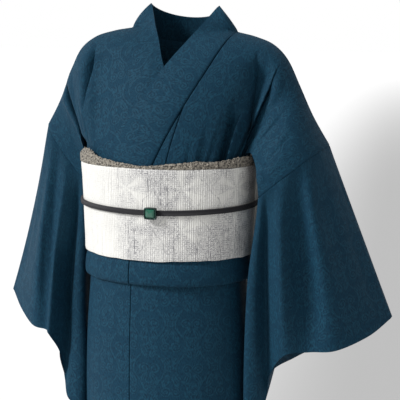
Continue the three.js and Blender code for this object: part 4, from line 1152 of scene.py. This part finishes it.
# %% Lines of the sleeve
SLEEVE_FRONT = table(
    "armhole x y z bow_x bow_y",
    (1.5, 159, 44, -626, 2, 34), (1.25, 160, 4, -641, 0, 4), (1.06, 155, -50, -652, -4, -8),
    (0.97, 178, -47, -642, -2, -10), (0.92, 188, -36, -606, 0, 6), (0.86, 196, -40, -560, 2, -6),
    (0.74, 221, -60, -524, 0, -14), (0.58, 258, -42, -521, 0, 8), (0.42, 302, -38, -516, 0, -14),
    (0.22, 348, 4, -499, 0, -4), (0.06, 374, 50, -481, 0, 0), (0, 378, 62, -477, 0, 0),
)
SLEEVE_BACK = table(
    "armhole x y z bow_x bow_y right",
    (0.06, 374, 74, -482, 0, 0, 0), (0.24, 346, 104, -505, 0, 8, 8), (0.45, 296, 108, -528, 0, 6, 14),
    (0.66, 244, 88, -548, 0, 22, 12), (0.76, 215, 40, -556, 2, 40, 0), (0.83, 196, -40, -560, 8, 70, 0),
    (0.88, 188, -36, -606, 10, 66, 0), (0.92, 178, -47, -642, 13, 68, 0), (0.96, 155, -50, -652, 18, 65, 0),
    (1, 160, 4, -641, 14, 34, 0),
)
RIGHT_END = table(
    "x to y",
    (155, 151, 8), (158, 152, 4), (160, 152, 2), (178, 178, 2), (196, 193, 0), (221, 203, 0), (258, 214, 0),
    (302, 240, 0), (348, 280, 0), (374, 314, 0), (378, 322, 0),
)
# From this share of its length on, the back's inner edge is sewn to the front's.
SLEEVE_CLOSED = 0.55
# Past the underarm the edges swing away from the body, by x, y and z.
SWING_IN, SWING_APART, SWING_DOWN = 6, 44, 4
# The right front is flatter outside its deep fold.
FLATTER, FLATTER_AT, FLATTER_WIDE = -12.0, 0.58, 0.08


def armhole(half, share, front):
    """The sleeve's seam: share 0 at the top and 1 under the arm, on the bodice's last rib, and straight on past
    it."""
    under = stack(*(half["under"] if front else UNDERARM[:2]), UNDERARM[2])
    turn = clamp(share) * np.pi / 2
    p = rib(crest(half, np.ones_like(share)), under + 0 * turn[..., None], turn, fullness(1.0))
    beyond = np.maximum(0, share - 1)
    apart = SWING_APART if front else -SWING_APART
    return p + stack(-SWING_IN * beyond, beyond * apart, -SWING_DOWN * beyond)


def lower_end(half, rows):
    """The lower end of each line: the table's on the left, and on the right the same drawn in to a narrower
    sleeve."""
    if half is LEFT:
        return stack(rows["x"], rows["y"], rows["z"])
    end = through(RIGHT_END, "x", rows["x"])
    return stack(end["to"], rows["y"] + end["y"] + rows.get("right", 0), rows["z"] + half["drop"])


def sleeve_lines(half, rows, front, t):
    """Lines (first axis) at levels t (second axis): straight from armhole to end, bowed by 4 t (1 - t)."""
    share = rows["armhole"]
    flatter = FLATTER * bump(share, FLATTER_AT, FLATTER_WIDE) if front and half is RIGHT else 0.0
    top = armhole(half, share, front)[:, None]
    end = lower_end(half, rows)[:, None]
    points = mix(top, end, mix(0.001, 1, t)[None, :, None])
    bow = 4 * t * (1 - t)
    outline = half["bow"] * clamp((share - 0.5) / -0.5)
    points[..., 0] += (rows["bow_x"] + outline)[:, None] * bow
    points[..., 1] += (rows["bow_y"] + flatter)[:, None] * bow
    return points


def inner_back(half, t):
    """The back's inner edge: free at first, then sewn to the front's inner edge."""
    first_row = {name: column[:1] for name, column in SLEEVE_FRONT.items()}
    sewn = sleeve_lines(half, first_row, True, np.maximum(t, SLEEVE_CLOSED))[0]
    top = armhole(half, np.array([1.05]), False)[0]
    share = t / SLEEVE_CLOSED
    free = stack(
        mix(top[0], sewn[:, 0], share),
        mix(top[1], sewn[:, 1], ease(share)) + 10 * np.sin(np.pi * clamp(share)),
        mix(top[2], sewn[:, 2], share),
    )
    return np.where((t >= SLEEVE_CLOSED)[:, None], sewn, free)


def smooth_lines(lines, places):
    """Sections through the lines at places counted in lines, on cubics as in `through`."""
    i = np.clip(np.floor(places).astype(int), 0, len(lines) - 2)
    t = (places - i)[:, None, None]
    chord = np.diff(lines, axis=0)
    slope = np.concatenate([chord[:1], (chord[1:] + chord[:-1]) / 2, chord[-1:]])
    return (
        (2 * t**3 - 3 * t**2 + 1) * lines[i] + (t**3 - 2 * t**2 + t) * slope[i]
        + (3 * t**2 - 2 * t**3) * lines[i + 1] + (t**3 - t**2) * slope[i + 1]
    )


# %% Sleeve pieces
SLEEVE_CREASES = table(
    "line depth width start end slant",
    (6.6, 3.0, 0.35, 0.1, 0.8, 0.5), (7.6, 2.4, 0.3, 0.3, 0.95, -0.6), (8.7, 3.4, 0.4, 0.05, 0.7, 0.9),
    (9.5, 2.0, 0.3, 0.35, 0.97, 0.3), (10.3, 1.6, 0.25, 0.02, 0.5, 0.4), (13.2, 2.6, 0.35, 0.1, 0.8, -0.5),
    (14.4, 3.2, 0.4, 0.25, 0.95, 0.5), (3.4, 1.8, 0.3, 0.3, 0.9, 0.2),
)
SECTIONS_BETWEEN = 9
# The lines from the first to this one are the front's inner corner, to which the back is sewn at the lower edge.
SEWN_LINES = 5
CLOSE_OVER, BESIDE_BODY, BESIDE_OVER = 0.35, 172, 45


def sleeve_creases(level, places):
    """How deep the creases are: bells across the lines that slant with the level, and fade in and out. They spare
    both ends and the inner edges."""
    depth = 0.0
    for line, deep, width, start, end, slant in zip(*SLEEVE_CREASES.values()):
        along = ease((level - start) / 0.25) * (1 - ease((level - end + 0.2) / 0.2))
        depth = depth + deep * bump(places[:, None], line + slant * (level - 0.5), width) * along
    free_ends = ease(level / 0.08) * (1 - ease((level - 0.9) / 0.1))
    inner = ease(places) * (1 - ease(places - (places[-1] - 1.5)))
    return depth * free_ends * inner[:, None]


def sleeve(half, name, node):
    """One sleeve: sections through front and back lines, creased, drawn in beside the body, and sewn along the
    lower edge and up the inner edge, where front and back take the same points."""
    t = np.unique(np.concatenate([close_to_edges(80, 0, 1), [SLEEVE_CLOSED]]))
    lines = np.concatenate([
        sleeve_lines(half, SLEEVE_FRONT, True, t), sleeve_lines(half, SLEEVE_BACK, False, t),
        inner_back(half, t)[None],
    ])
    places = np.arange((len(lines) - 1) * SECTIONS_BETWEEN + 1) / SECTIONS_BETWEEN
    points = sided(half, smooth_lines(lines, places))
    sewn = SEWN_LINES * SECTIONS_BETWEEN
    level = t[None, :]
    outward = normals_of(points) * (-1 if half["side"] > 0 else 1)
    points = points - outward * sleeve_creases(level, places)[..., None]
    close = half["close"] * ease((level - half["close_from"]) / CLOSE_OVER)
    beside = 1 - ease((np.abs(points[..., 0]) - BESIDE_BODY) / BESIDE_OVER)
    points[..., 0] -= half["side"] * close * beside
    points[-1 - sewn :, -1] = points[: sewn + 1, -1][::-1]
    points[-1, t >= SLEEVE_CLOSED] = points[0, t >= SLEEVE_CLOSED]
    grid = sunk(cloth_grid(points, flip=half["side"] > 0, seams="t", start=(17, 0)))
    # The painted shade along the armhole seam is kept narrow.
    grid["seam"] += NARROW_SEAM_SHADE
    return make_piece(name, [grid], SILK, [node], CLOTH, 0, "hung")


sleeve(LEFT, "sleeve_left_cloth", "sleeve_left")
sleeve(RIGHT, "sleeve_right_cloth", "sleeve_right")


# %% [markdown]
# ## Skirt
# Below the sash five panels wrap the legs, one and a half times round: the left gusset lies outermost in front, and
# the right front under it. Each panel is a part of one tall oval, between two angles and two heights, and carries
# its own grain from its own place on the bolt. The hidden front is shorter at its edge, as it is when one is dressed.


# %% Skirt
# Heights of the waist end, which the sash hides, and of the waist fold's lower edge.
SKIRT_TOP, FOLD_BOTTOM = -348.0, -409.5
SKIRT_FOLDS = table("angle depth width", (48, 3, 9), (72, 4, 8), (128, 4, 12), (-128, 4, 12), (165, 2, 9))
# Columns are this many degrees apart.
SKIRT_STEP = 1.1
OUTER_OFF = 2.6


def skirt_fold(angle, z):
    """Soft upright folds that deepen towards the hem."""
    down = ease((z - FOLD_BOTTOM) / (HEM - FOLD_BOTTOM) / 0.8)
    wrapped = np.where(angle > 180, angle - 360, angle)
    depth = sum(d * bump(wrapped, a, w) for a, d, w in zip(*SKIRT_FOLDS.values()))
    return -depth * down + 0.35 * uneven(np.radians(wrapped) * 5 + z / 160, 2) * down


def outer_off(angle):
    """How far the outer front lies off the figure: OUTER_OFF over the underlap, easing to 0 at the side."""
    return OUTER_OFF * (1 - ease((angle - UNDERLAP_EDGE - 4) / (90 - UNDERLAP_EDGE - 8)))


def flush(angle):
    """The other panels lie on the figure itself."""
    return 0 * angle


def level_hem(angle):
    """The hem at one height all along."""
    return HEM + 0 * angle


def front_hem(angle):
    """The hem of the outer front: raised by 34 mm at its free edge, by the square of what is left of 60 degrees."""
    return HEM + 34 * (1 - ease((angle - FRONT_EDGE) / 60)) ** 2


def under_hem(angle):
    """The hem of the hidden front: 6 mm up, and 40 mm more at its inner edge."""
    return HEM + 6 + 40 * ease((angle - 10) / 50)


def skirt_panel(name, node, first, last, off, hem, seams, start):
    """One panel: the figure's oval between two angles, from the waist to its hem, plus its own folds."""
    columns = int(abs(last - first) / SKIRT_STEP)
    s, t = np.meshgrid(close_to_edges(columns, 0, 1), close_to_edges(90, 1), indexing="ij")
    angle = mix(first, last, s)
    z = mix(SKIRT_TOP, hem(angle), t)
    points = around(angle, z, off(angle) + skirt_fold(angle, z))
    grid = cloth_grid(points, flip=True, seams=seams, start=start)
    make_piece(name, [sunk(grid)], SILK, [node], CLOTH, 1, "hung")


# %% Skirt pieces
HALF_GAP = 0.1
OUTER_TO, INNER_FROM = GUSSET_SEAM - HALF_GAP, GUSSET_SEAM + HALF_GAP
for panel in (
    ("skirt_gusset_left", FRONT_EDGE, OUTER_TO, outer_off, front_hem, "r", (3, 0)),
    ("skirt_front_left", INNER_FROM, 90 - HALF_GAP, outer_off, level_hem, "lr", (34, 47)),
    ("skirt_back_left", 90 + HALF_GAP, 180 - HALF_GAP, flush, level_hem, "lr", (58, 20)),
    ("skirt_back_right", 180 + HALF_GAP, 270 - HALF_GAP, flush, level_hem, "lr", (58, 20)),
    ("skirt_front_right", HALF_GAP - 90, UNDERLAP_EDGE, flush, under_hem, "l", (12, 70)),
):
    skirt_panel(panel[0] + "_cloth", *panel)


# %% [markdown]
# ## Waist fold
# The kimono is longer than its wearer. What is over is tucked up at the waist and hangs out below the sash as a flat
# fold, double and soft at its lower edge. Its section is a path seen from the side, down along the body, round and
# up again under the sash. That path is carried round the oval and puffed a little.


# %% Waist fold
FOLD_PATH = table(
    "row off z",
    (0, 6.1, -350), (1, 6.2, -396), (2, 7.2, -407), (3, 9.6, -409.5), (4, 12, -404.5), (5, 12.6, -392),
    (6, 11.2, -378), (7, 9.2, -369), (8, 9.1, -350),
)
# Columns are this many degrees apart. The free part of the path is puffed: by rows, where that starts and ends, and
# how softly.
FOLD_STEP = 1.2
PUFF_FROM, PUFF_GROWN, PUFF_TO, PUFF_FADED = 2, 1.5, 5.6, 1.2


def waist_fold(name, node, first, last, seams, start):
    """One panel's part of the fold: the path carried between two angles, puffed and sagging unevenly where it is
    free."""
    columns = int(abs(last - first) / FOLD_STEP)
    s, row = np.meshgrid(close_to_edges(columns, 0, 1), np.linspace(0, 8, 73), indexing="ij")
    angle = mix(first, last, s)
    path = through(FOLD_PATH, "row", row)
    puffed = ease((row - PUFF_FROM) / PUFF_GROWN) * (1 - ease((row - PUFF_TO) / PUFF_FADED))
    puff = puffed * (0.9 * np.sin(np.radians(angle * 3 + 20)) + 0.7 * uneven(np.radians(angle) * 4, 4))
    sag = -1.2 * puffed * uneven(np.radians(angle) * 2.6, 7)
    points = around(angle, path["z"], path["off"] + puff)
    points[..., 2] += sag
    grid = cloth_grid(points, flip=False, seams=seams, start=start)
    make_piece(name, [sunk(grid)], SILK, [node], CLOTH, 0, "folded")


waist_fold("waist_fold_gusset_cloth", "waist_fold_gusset", FRONT_EDGE, OUTER_TO, "r", (3, 40))
waist_fold("waist_fold_left_cloth", "waist_fold_left", INNER_FROM, 180 - HALF_GAP, "lr", (34, 77))
waist_fold("waist_fold_right_cloth", "waist_fold_right", 180 + HALF_GAP, 360 + FRONT_EDGE - 0.3, "l", (58, 20))


# %% [markdown]
# ## Sash
# The sash is a stiff woven band, folded to half its width and wound twice round the body over a board, so it has
# hardly a crease. One wall stands for both turns. It is a tube on the figure's oval with slightly uneven edges, a
# little wider at the top, where the scarf is tucked in. It starts behind, so that the seam of the tube is hidden.


# %% Sash
# One column to each degree, from behind.
SASH_COLUMNS, SASH_STARTS = 360, 150
# How far the band stands out at its top and its bottom, over this share of its height, and how far its very edges
# are rounded in.
FLARE_TOP, FLARE_BOTTOM, FLARE_OVER = 1.2, 0.4, 0.2
ROUNDED_IN, ROUNDED_OVER = 0.9, 0.02


def sash():
    """The band: for each angle and each share s from top to bottom, the oval pushed out by SASH_IN, more at the
    top and less at the very edges."""
    turn = np.linspace(0, 360, SASH_COLUMNS + 1) - SASH_STARTS
    angle, s = np.meshgrid(turn, np.linspace(0, 1, 41), indexing="ij")
    a = np.radians(angle)
    top = SASH_TOP + 0.5 * uneven(a * 3, 1)
    bottom = SASH_BOTTOM + 1.1 * uneven(a * 4, 3)
    z = mix(top, bottom, s)
    off = SASH_IN + FLARE_TOP * (1 - ease(s / FLARE_OVER)) + FLARE_BOTTOM * ease((s - (1 - FLARE_OVER)) / FLARE_OVER)
    off = off + 0.5 * uneven(a * 5 + 3 * s, 5)
    off = off - ROUNDED_IN * ease(1 - s / ROUNDED_OVER) - ROUNDED_IN * ease(1 - (1 - s) / ROUNDED_OVER)
    grid = cloth_grid(around(angle, z, off), flip=True)
    make_piece("sash_cloth", [grid], SASH_CLOTH, ["sash"], SASH_WALL, 1, "stretched")


sash()


# %% [markdown]
# ## Drum knot
# Behind, the sash is tied to the plain drum knot: a loop as broad as the back that bulges out and turns under, a
# tail that hangs inside it, and the short end, called the hand, that goes through from side to side. Seen from the
# side each is a single bent line, so a path is carried straight across the back and crowned in the middle.


# %% Knot
DRUM = table(
    "row y z",
    (0, 122, -170.5), (1, 136, -165.5), (2, 151, -169.5), (3, 163, -184), (4, 171, -214), (5, 179, -262),
    (6, 183, -320), (7, 182, -385), (8, 177, -426), (9, 166, -440), (10, 153, -434), (11, 140, -405),
    (12, 132, -370), (13, 130.4, -314),
)
TAIL = table("row y z", (0, 123.5, -300), (1, 123.5, -372), (2, 126, -440), (3, 131, -516))
HAND = table("row y z", (0, 127.1, -250), (1, 127.1, -378))
DRUM_WIDE, TAIL_WIDE, HAND_WIDE = 142.0, 140.0, 151.0
# Rows to each step of a path, and from what depth, and over how much, a path is crowned.
ROWS_TO_A_STEP = 10
CROWN_FROM, CROWN_OVER = 150, 25


def across_back(name, node, path, last, wide, crown=0.0, held="folded"):
    """A length of sash laid across the back: its path seen from the side, carried from left to right, and pushed
    out in the middle by crown times 1 less s squared."""
    rows = np.linspace(0, last, last * ROWS_TO_A_STEP + 1)
    s, row = np.meshgrid(np.linspace(-1, 1, 61), rows, indexing="ij")
    p = through(path, "row", row)
    y = p["y"] + crown * ease((p["y"] - CROWN_FROM) / CROWN_OVER) * (1 - s**2)
    y = y + 0.6 * uneven(s * 3 + p["z"] / 70, 6) * ease(row / 2) * ease((last - row) / 2)
    grid = cloth_grid(stack(wide * s, y, p["z"]), start=(300, 40))
    make_piece(name, [grid], SASH_CLOTH, [node], BAND_WALL, 0, held)


across_back("drum_cloth", "sash_drum", DRUM, 13, DRUM_WIDE, crown=7.0)
across_back("tail_cloth", "sash_tail", TAIL, 3, TAIL_WIDE, held="hung")
across_back("hand_cloth", "sash_hand", HAND, 1, HAND_WIDE)


# %% [markdown]
# ## Scarf
# The sash scarf is tied round the top of the sash to hide the pad of the knot, and only a crumpled rim of it shows in
# front. Blender's cloth tools would crumple it at random. Sines that run askew along the band give folds that stay
# where they are put, and that can be kept away from the flat underside.


# %% Tube round a closed path
def closed_tube(name, node, half_ring, section, material, unevenly=None):
    """A tube round a closed path. half_ring gives x, y, z, thick and high from the front centre round the left to
    the back centre, and is mirrored; section gives, for each angle, how far out and up in half sizes."""
    ring_of = {
        key: np.concatenate([value, value[-2:0:-1] * (-1 if key == "x" else 1)]) for key, value in half_ring.items()
    }
    if unevenly:
        unevenly(ring_of)
    x, y = ring_of["x"], ring_of["y"]
    along = np.stack([np.roll(x, -1) - np.roll(x, 1), np.roll(y, -1) - np.roll(y, 1)], axis=-1)
    along /= np.linalg.norm(along, axis=-1, keepdims=True)
    out, up = section(ring_of)
    reach = out * ring_of["thick"][:, None]
    points = stack(
        x[:, None] + along[:, 1:] * reach, y[:, None] - along[:, :1] * reach,
        ring_of["z"][:, None] + up * ring_of["high"][:, None],
    )
    points = np.concatenate([points, points[:1]])
    points = np.concatenate([points, points[:, :1]], axis=1)
    return make_piece(name, [cloth_grid(points)], material, [node])


# %% Scarf
SCARF = table(
    "row x y z thick high",
    (0, 0, -111.7, -215, 2.6, 6.5), (1, 47, -105.5, -215, 2.8, 8), (2, 92, -87, -215, 3, 10.5),
    (3, 126, -59.5, -215, 3.2, 13), (4, 147, -24, -215, 3.4, 14.5), (5, 150.5, 14, -215, 3.6, 15),
    (6, 143, 58, -214, 5, 17), (7, 130, 100, -209, 9, 24), (8, 104, 127, -203, 16, 28),
    (9, 60, 135, -202, 20, 29), (10, 0, 136, -202, 21, 29),
)
SCARF_CORNERS = 40


def scarf_section(ring_of):
    """Half round above and flat below, with shallow pinches that run askew along the band."""
    a = np.linspace(0, 2 * np.pi, SCARF_CORNERS, endpoint=False)[None]
    far = arcs(np.stack([ring_of["x"], ring_of["y"]], axis=-1), 0)[:, None]
    folds = 0.13 * np.sin(3 * a + far / 19) + 0.1 * np.sin(5 * a - far / 11 + 1) + 0.07 * uneven(far / 6 + 2 * a, 3)
    crinkle = 0.14 * np.sin(far / 1.7 + 3 * np.sin(2 * a + far / 13)) * np.sin(4 * a + far / 7)
    up = np.sin(a) * np.where(np.sin(a) < 0, 0.08, 1) * (1 + (0.5 * folds + 0.6 * crinkle) * (np.sin(a) > 0))
    return np.cos(a) * (1 + folds * 0.8 + 2 * crinkle) + 0 * up, up + 0 * far


def scarf_shape(ring_of):
    """The height times 1 plus bells: the band narrows where its two ends cross at the front, and stands higher
    on the wearer's right."""
    x, front = ring_of["x"], ease(-ring_of["y"] / 30)
    crossing = -0.45 * bump(x, -14, 30) + 0.12 * bump(x, 70, 50) + 0.08 * uneven(x / 14, 2)
    higher = 0.25 * bump(x, -84, 26) + 0.75 * bump(x, -123, 22)
    ring_of["high"] = ring_of["high"] * (1 + front * (crossing + higher))


scarf_ring = through(SCARF, "row", np.linspace(0, 10, 301))
scarf_ring.pop("row")
closed_tube("scarf_cloth", "scarf", scarf_ring, scarf_section, SCARF_CLOTH, scarf_shape)


# %% [markdown]
# ## Cord
# The cord is a flat silk braid, tied round the sash through the loop of the drum to hold the knot. In front it lies
# on the sash, so its path is the figure's oval, a sash further out. Behind it cuts straight through the drum. A curve
# object with a bevel would twist at the corners, but a section that is always upright doesn't.


# %% Cord
CORD_BACK = table(
    "row x y",
    (0, 152.9, 14), (1, 153.4, 60), (2, 155, 100), (3, 156.2, 121), (4, 153.5, 130), (5, 141, 132),
    (6, 80, 132), (7, 0, 132),
)
CORD_FRONT_Z, CORD_SIDE_Z, CORD_BACK_Z = -287.0, -283.0, -290.0
CORD_HIGH, CORD_THICK, CORD_CLEAR = 9.0, 3.8, 0.7
CORD_CORNERS, CORD_BACK_POINTS = 24, 100


def braid_section(ring_of):
    """A flat oblong with rounded edges: a power of sine and cosine."""
    a = np.linspace(0, 2 * np.pi, CORD_CORNERS, endpoint=False)[None]
    out = np.sign(np.cos(a)) * np.abs(np.cos(a)) ** 0.35
    up = np.sign(np.sin(a)) * np.abs(np.sin(a)) ** 0.5
    return out + 0 * ring_of["x"][:, None], up + 0 * ring_of["x"][:, None]


def cord_ring():
    """Half the cord's path: round the front as the oval, dipping to the middle, then the table behind."""
    off = SASH_IN + SASH_WALL + CORD_CLEAR + CORD_THICK / 2
    angle = np.linspace(0, 90, 121)[:-1]
    front = around(angle, CORD_SIDE_Z + 0 * angle, off)
    back = through(CORD_BACK, "row", np.linspace(0, 7, CORD_BACK_POINTS))
    z_front = mix(CORD_FRONT_Z, CORD_SIDE_Z, ease(angle / 90))
    z_back = np.linspace(CORD_SIDE_Z, CORD_BACK_Z, CORD_BACK_POINTS)
    x = np.concatenate([front[:, 0], back["x"]])
    half = np.full(x.shape, 0.5)
    return dict(
        x=x, y=np.concatenate([front[:, 1], back["y"]]), z=np.concatenate([z_front, z_back]),
        thick=half * CORD_THICK, high=half * CORD_HIGH,
    )


half_cord = cord_ring()
closed_tube("cord_braid", "cord", half_cord, braid_section, BRAID)
half_path = stack(half_cord["x"], half_cord["y"], half_cord["z"])
print(f"the cord's closed run: {2 * arcs(half_path, 0)[-1] * MM:.3f} m")


# %% [markdown]
# ## Clasp
# A small clasp is threaded on the cord: a metal setting with a rounded lip, and a cushion-cut stone in it. Both are
# made like a bowl on a lathe, but round an oblong: a profile of insets and depths is carried round an outline with
# round corners. Bevelled cubes would come close, but their lip and cut would be harder to set.


# %% Clasp
CLASP_X, CLASP_Z = 8.0, -287.0
CLASP_WIDE, CLASP_HIGH, CLASP_CORNER = 22, 20, 4
CLASP_ANGLE, CLASP_CLEAR = 3.0, 0.35
# The back of the clasp lies on the cord: off the figure by sash and cord.
ON_CORD = SASH_IN + SASH_WALL + CORD_CLEAR + CORD_THICK + CLASP_CLEAR
BACK_OF_CLASP = float(around(CLASP_ANGLE, CORD_FRONT_Z, ON_CORD)[1])
SETTING_PROFILE = table(
    "inset deep",
    (2.6, 0.0), (0.6, 0.0), (0.1, 0.5), (0.0, 1.2), (0.0, 4.6), (0.2, 5.3), (0.7, 5.8), (1.4, 6.0), (2.1, 5.8),
    (2.5, 5.2), (2.6, 4.4), (2.6, 0.0),
)
STONE_PROFILE = table(
    "inset deep", (9.9, 0.6), (3.2, 0.6), (2.75, 1.4), (2.7, 4.4), (2.9, 5.2), (4.4, 6.7), (4.8, 6.95), (9.9, 7.1),
)


def outline(wide, high, corner, count=64):
    """An oblong with round corners, as points that run evenly round by angle."""
    a = np.linspace(0, 2 * np.pi, count, endpoint=False)
    x = np.clip(np.cos(a) * 2, -1, 1) * (wide / 2 - corner) + corner * np.cos(a)
    z = np.clip(np.sin(a) * 2, -1, 1) * (high / 2 - corner) + corner * np.sin(a)
    return x, z


def turned(name, node, profile, material):
    """Rings of an outline, each drawn in by `inset` and set forward by `deep`, closed with a flat centre. The
    corners get rounder as the ring shrinks."""
    rings = []
    for inset, deep in zip(profile["inset"], profile["deep"]):
        corner = max(CLASP_CORNER - inset * 0.75, 1.0)
        x, z = outline(CLASP_WIDE - 2 * inset, CLASP_HIGH - 2 * inset, corner)
        rings.append(stack(CLASP_X + x, BACK_OF_CLASP - deep, CLASP_Z + z))
    points = np.stack(rings, axis=1)
    points = np.concatenate([points, points[:1]])
    return make_piece(name, [cloth_grid(points, flip=True)], material, [node])


turned("clasp_setting", "clasp_frame", SETTING_PROFILE, SETTING)
turned("clasp_jewel", "clasp_stone", STONE_PROFILE, STONE)


# %% [markdown]
# ## Floor
# The stage is one pale floor, large enough that its edge is never seen. Garments are often shown with a soft grey
# shadow to one side, so that shadow is painted into the floor's colour: it falls from nearly white on the wearer's
# right to grey on the left, and gets white again far behind. Both come from the place on the floor itself, so they
# stay put when the camera moves.

# %% Floor
FLOOR_HALF, UNDER_HEM = 30.0, 50
FLOOR_SLANT = 0.12
# Two ramps in metres and in lightness: from, to, value at from, value at to. The first paints the grey shadow.
FLOOR_SHADOW_ACROSS = (-0.9, 0.24, 0.97, 0.48)
FLOOR_FAR = (7.0, 24.0, 0.0, 1.0)


def ramp(nodes, numbers):
    """A Map Range node with soft ends."""
    made = nodes.new("ShaderNodeMapRange")
    made.interpolation_type = "SMOOTHSTEP"
    for name, value in zip(("From Min", "From Max", "To Min", "To Max"), numbers):
        made.inputs[name].default_value = value
    return made


def studio_floor():
    """A square whose lightness is a soft ramp along x plus a little y, a painted shadow, mixed with white by a ramp
    along y.
    """
    mesh = bpy.data.meshes.new("floor")
    far, level = FLOOR_HALF, (HEM - UNDER_HEM) * MM
    corners = [(-far, -far, level), (far, -far, level), (far, far, level), (-far, far, level)]
    mesh.from_pydata(corners, [], [(0, 1, 2, 3)])
    floor = bpy.data.objects.new("floor", mesh)
    bpy.context.scene.collection.objects.link(floor)
    pale = bpy.data.materials.new("pale floor")
    pale.use_nodes = True
    nodes, links = pale.node_tree.nodes, pale.node_tree.links
    where, parts = nodes.new("ShaderNodeTexCoord"), nodes.new("ShaderNodeSeparateXYZ")
    links.new(where.outputs["Object"], parts.inputs[0])
    slant = nodes.new("ShaderNodeMath")
    slant.operation = "MULTIPLY_ADD"
    links.new(parts.outputs[1], slant.inputs[0])
    slant.inputs[1].default_value = FLOOR_SLANT
    links.new(parts.outputs[0], slant.inputs[2])
    share, distance = ramp(nodes, FLOOR_SHADOW_ACROSS), ramp(nodes, FLOOR_FAR)
    links.new(slant.outputs[0], share.inputs["Value"])
    links.new(parts.outputs[1], distance.inputs["Value"])
    shader = nodes["Principled BSDF"]
    paler = nodes.new("ShaderNodeMix")
    links.new(distance.outputs[0], paler.inputs[0])
    links.new(share.outputs[0], paler.inputs[2])
    paler.inputs[3].default_value = 1.0
    links.new(paler.outputs[0], shader.inputs["Base Color"])
    shader.inputs["Roughness"].default_value = 0.9
    shader.inputs["Specular IOR Level"].default_value = 0.1
    mesh.materials.append(pale)
    print("floor at", round(level, 3), "m")


studio_floor()


# %% [markdown]
# ## Light
# The light is a sun with a wide disc, in front of the wearer's right shoulder and above it, so that the folds on the
# left fall into soft shade. One weak area lamp opens the shadows, and an even world fills the rest. The camera sees
# the world as white, while the cloth gets half of it: the Light Path node tells the two apart.

# %% Light
SUN_STRENGTH, SUN_DISC = 3.05, np.radians(16)
SUN_ALONG = Vector((1.0, 0.8, -0.95))
FILL_AT, FILL_SIZE, FILL_WATTS = (1.8, -2.6, 0.6), 1.8, 1.5
GARMENT_MIDDLE = Vector((0, 0, -0.35))
WORLD_ON_CLOTH, WORLD_SEEN = 0.51, 1.0


def lamp(name, kind, along):
    """A lamp that shines along a vector."""
    light = bpy.data.objects.new(name, bpy.data.lights.new(name, kind))
    light.rotation_euler = along.to_track_quat("-Z", "Y").to_euler()
    bpy.context.scene.collection.objects.link(light)
    return light


fill = lamp("fill", "AREA", GARMENT_MIDDLE - Vector(FILL_AT))
fill.location = FILL_AT
fill.data.size, fill.data.energy = FILL_SIZE, FILL_WATTS
sun = lamp("key", "SUN", SUN_ALONG)
sun.data.energy, sun.data.angle = SUN_STRENGTH, SUN_DISC
world = bpy.data.worlds.new("studio")
world.use_nodes = True
sky = world.node_tree.nodes["Background"]
sky.inputs[0].default_value = (1, 1, 1, 1)
seen = world.node_tree.nodes.new("ShaderNodeLightPath")
level = world.node_tree.nodes.new("ShaderNodeMapRange")
world.node_tree.links.new(seen.outputs["Is Camera Ray"], level.inputs["Value"])
level.inputs["To Min"].default_value = WORLD_ON_CLOTH
level.inputs["To Max"].default_value = WORLD_SEEN
world.node_tree.links.new(level.outputs[0], sky.inputs[1])
bpy.context.scene.world = world
print("sun", SUN_STRENGTH, "fill", FILL_WATTS, "W, world", WORLD_ON_CLOTH)
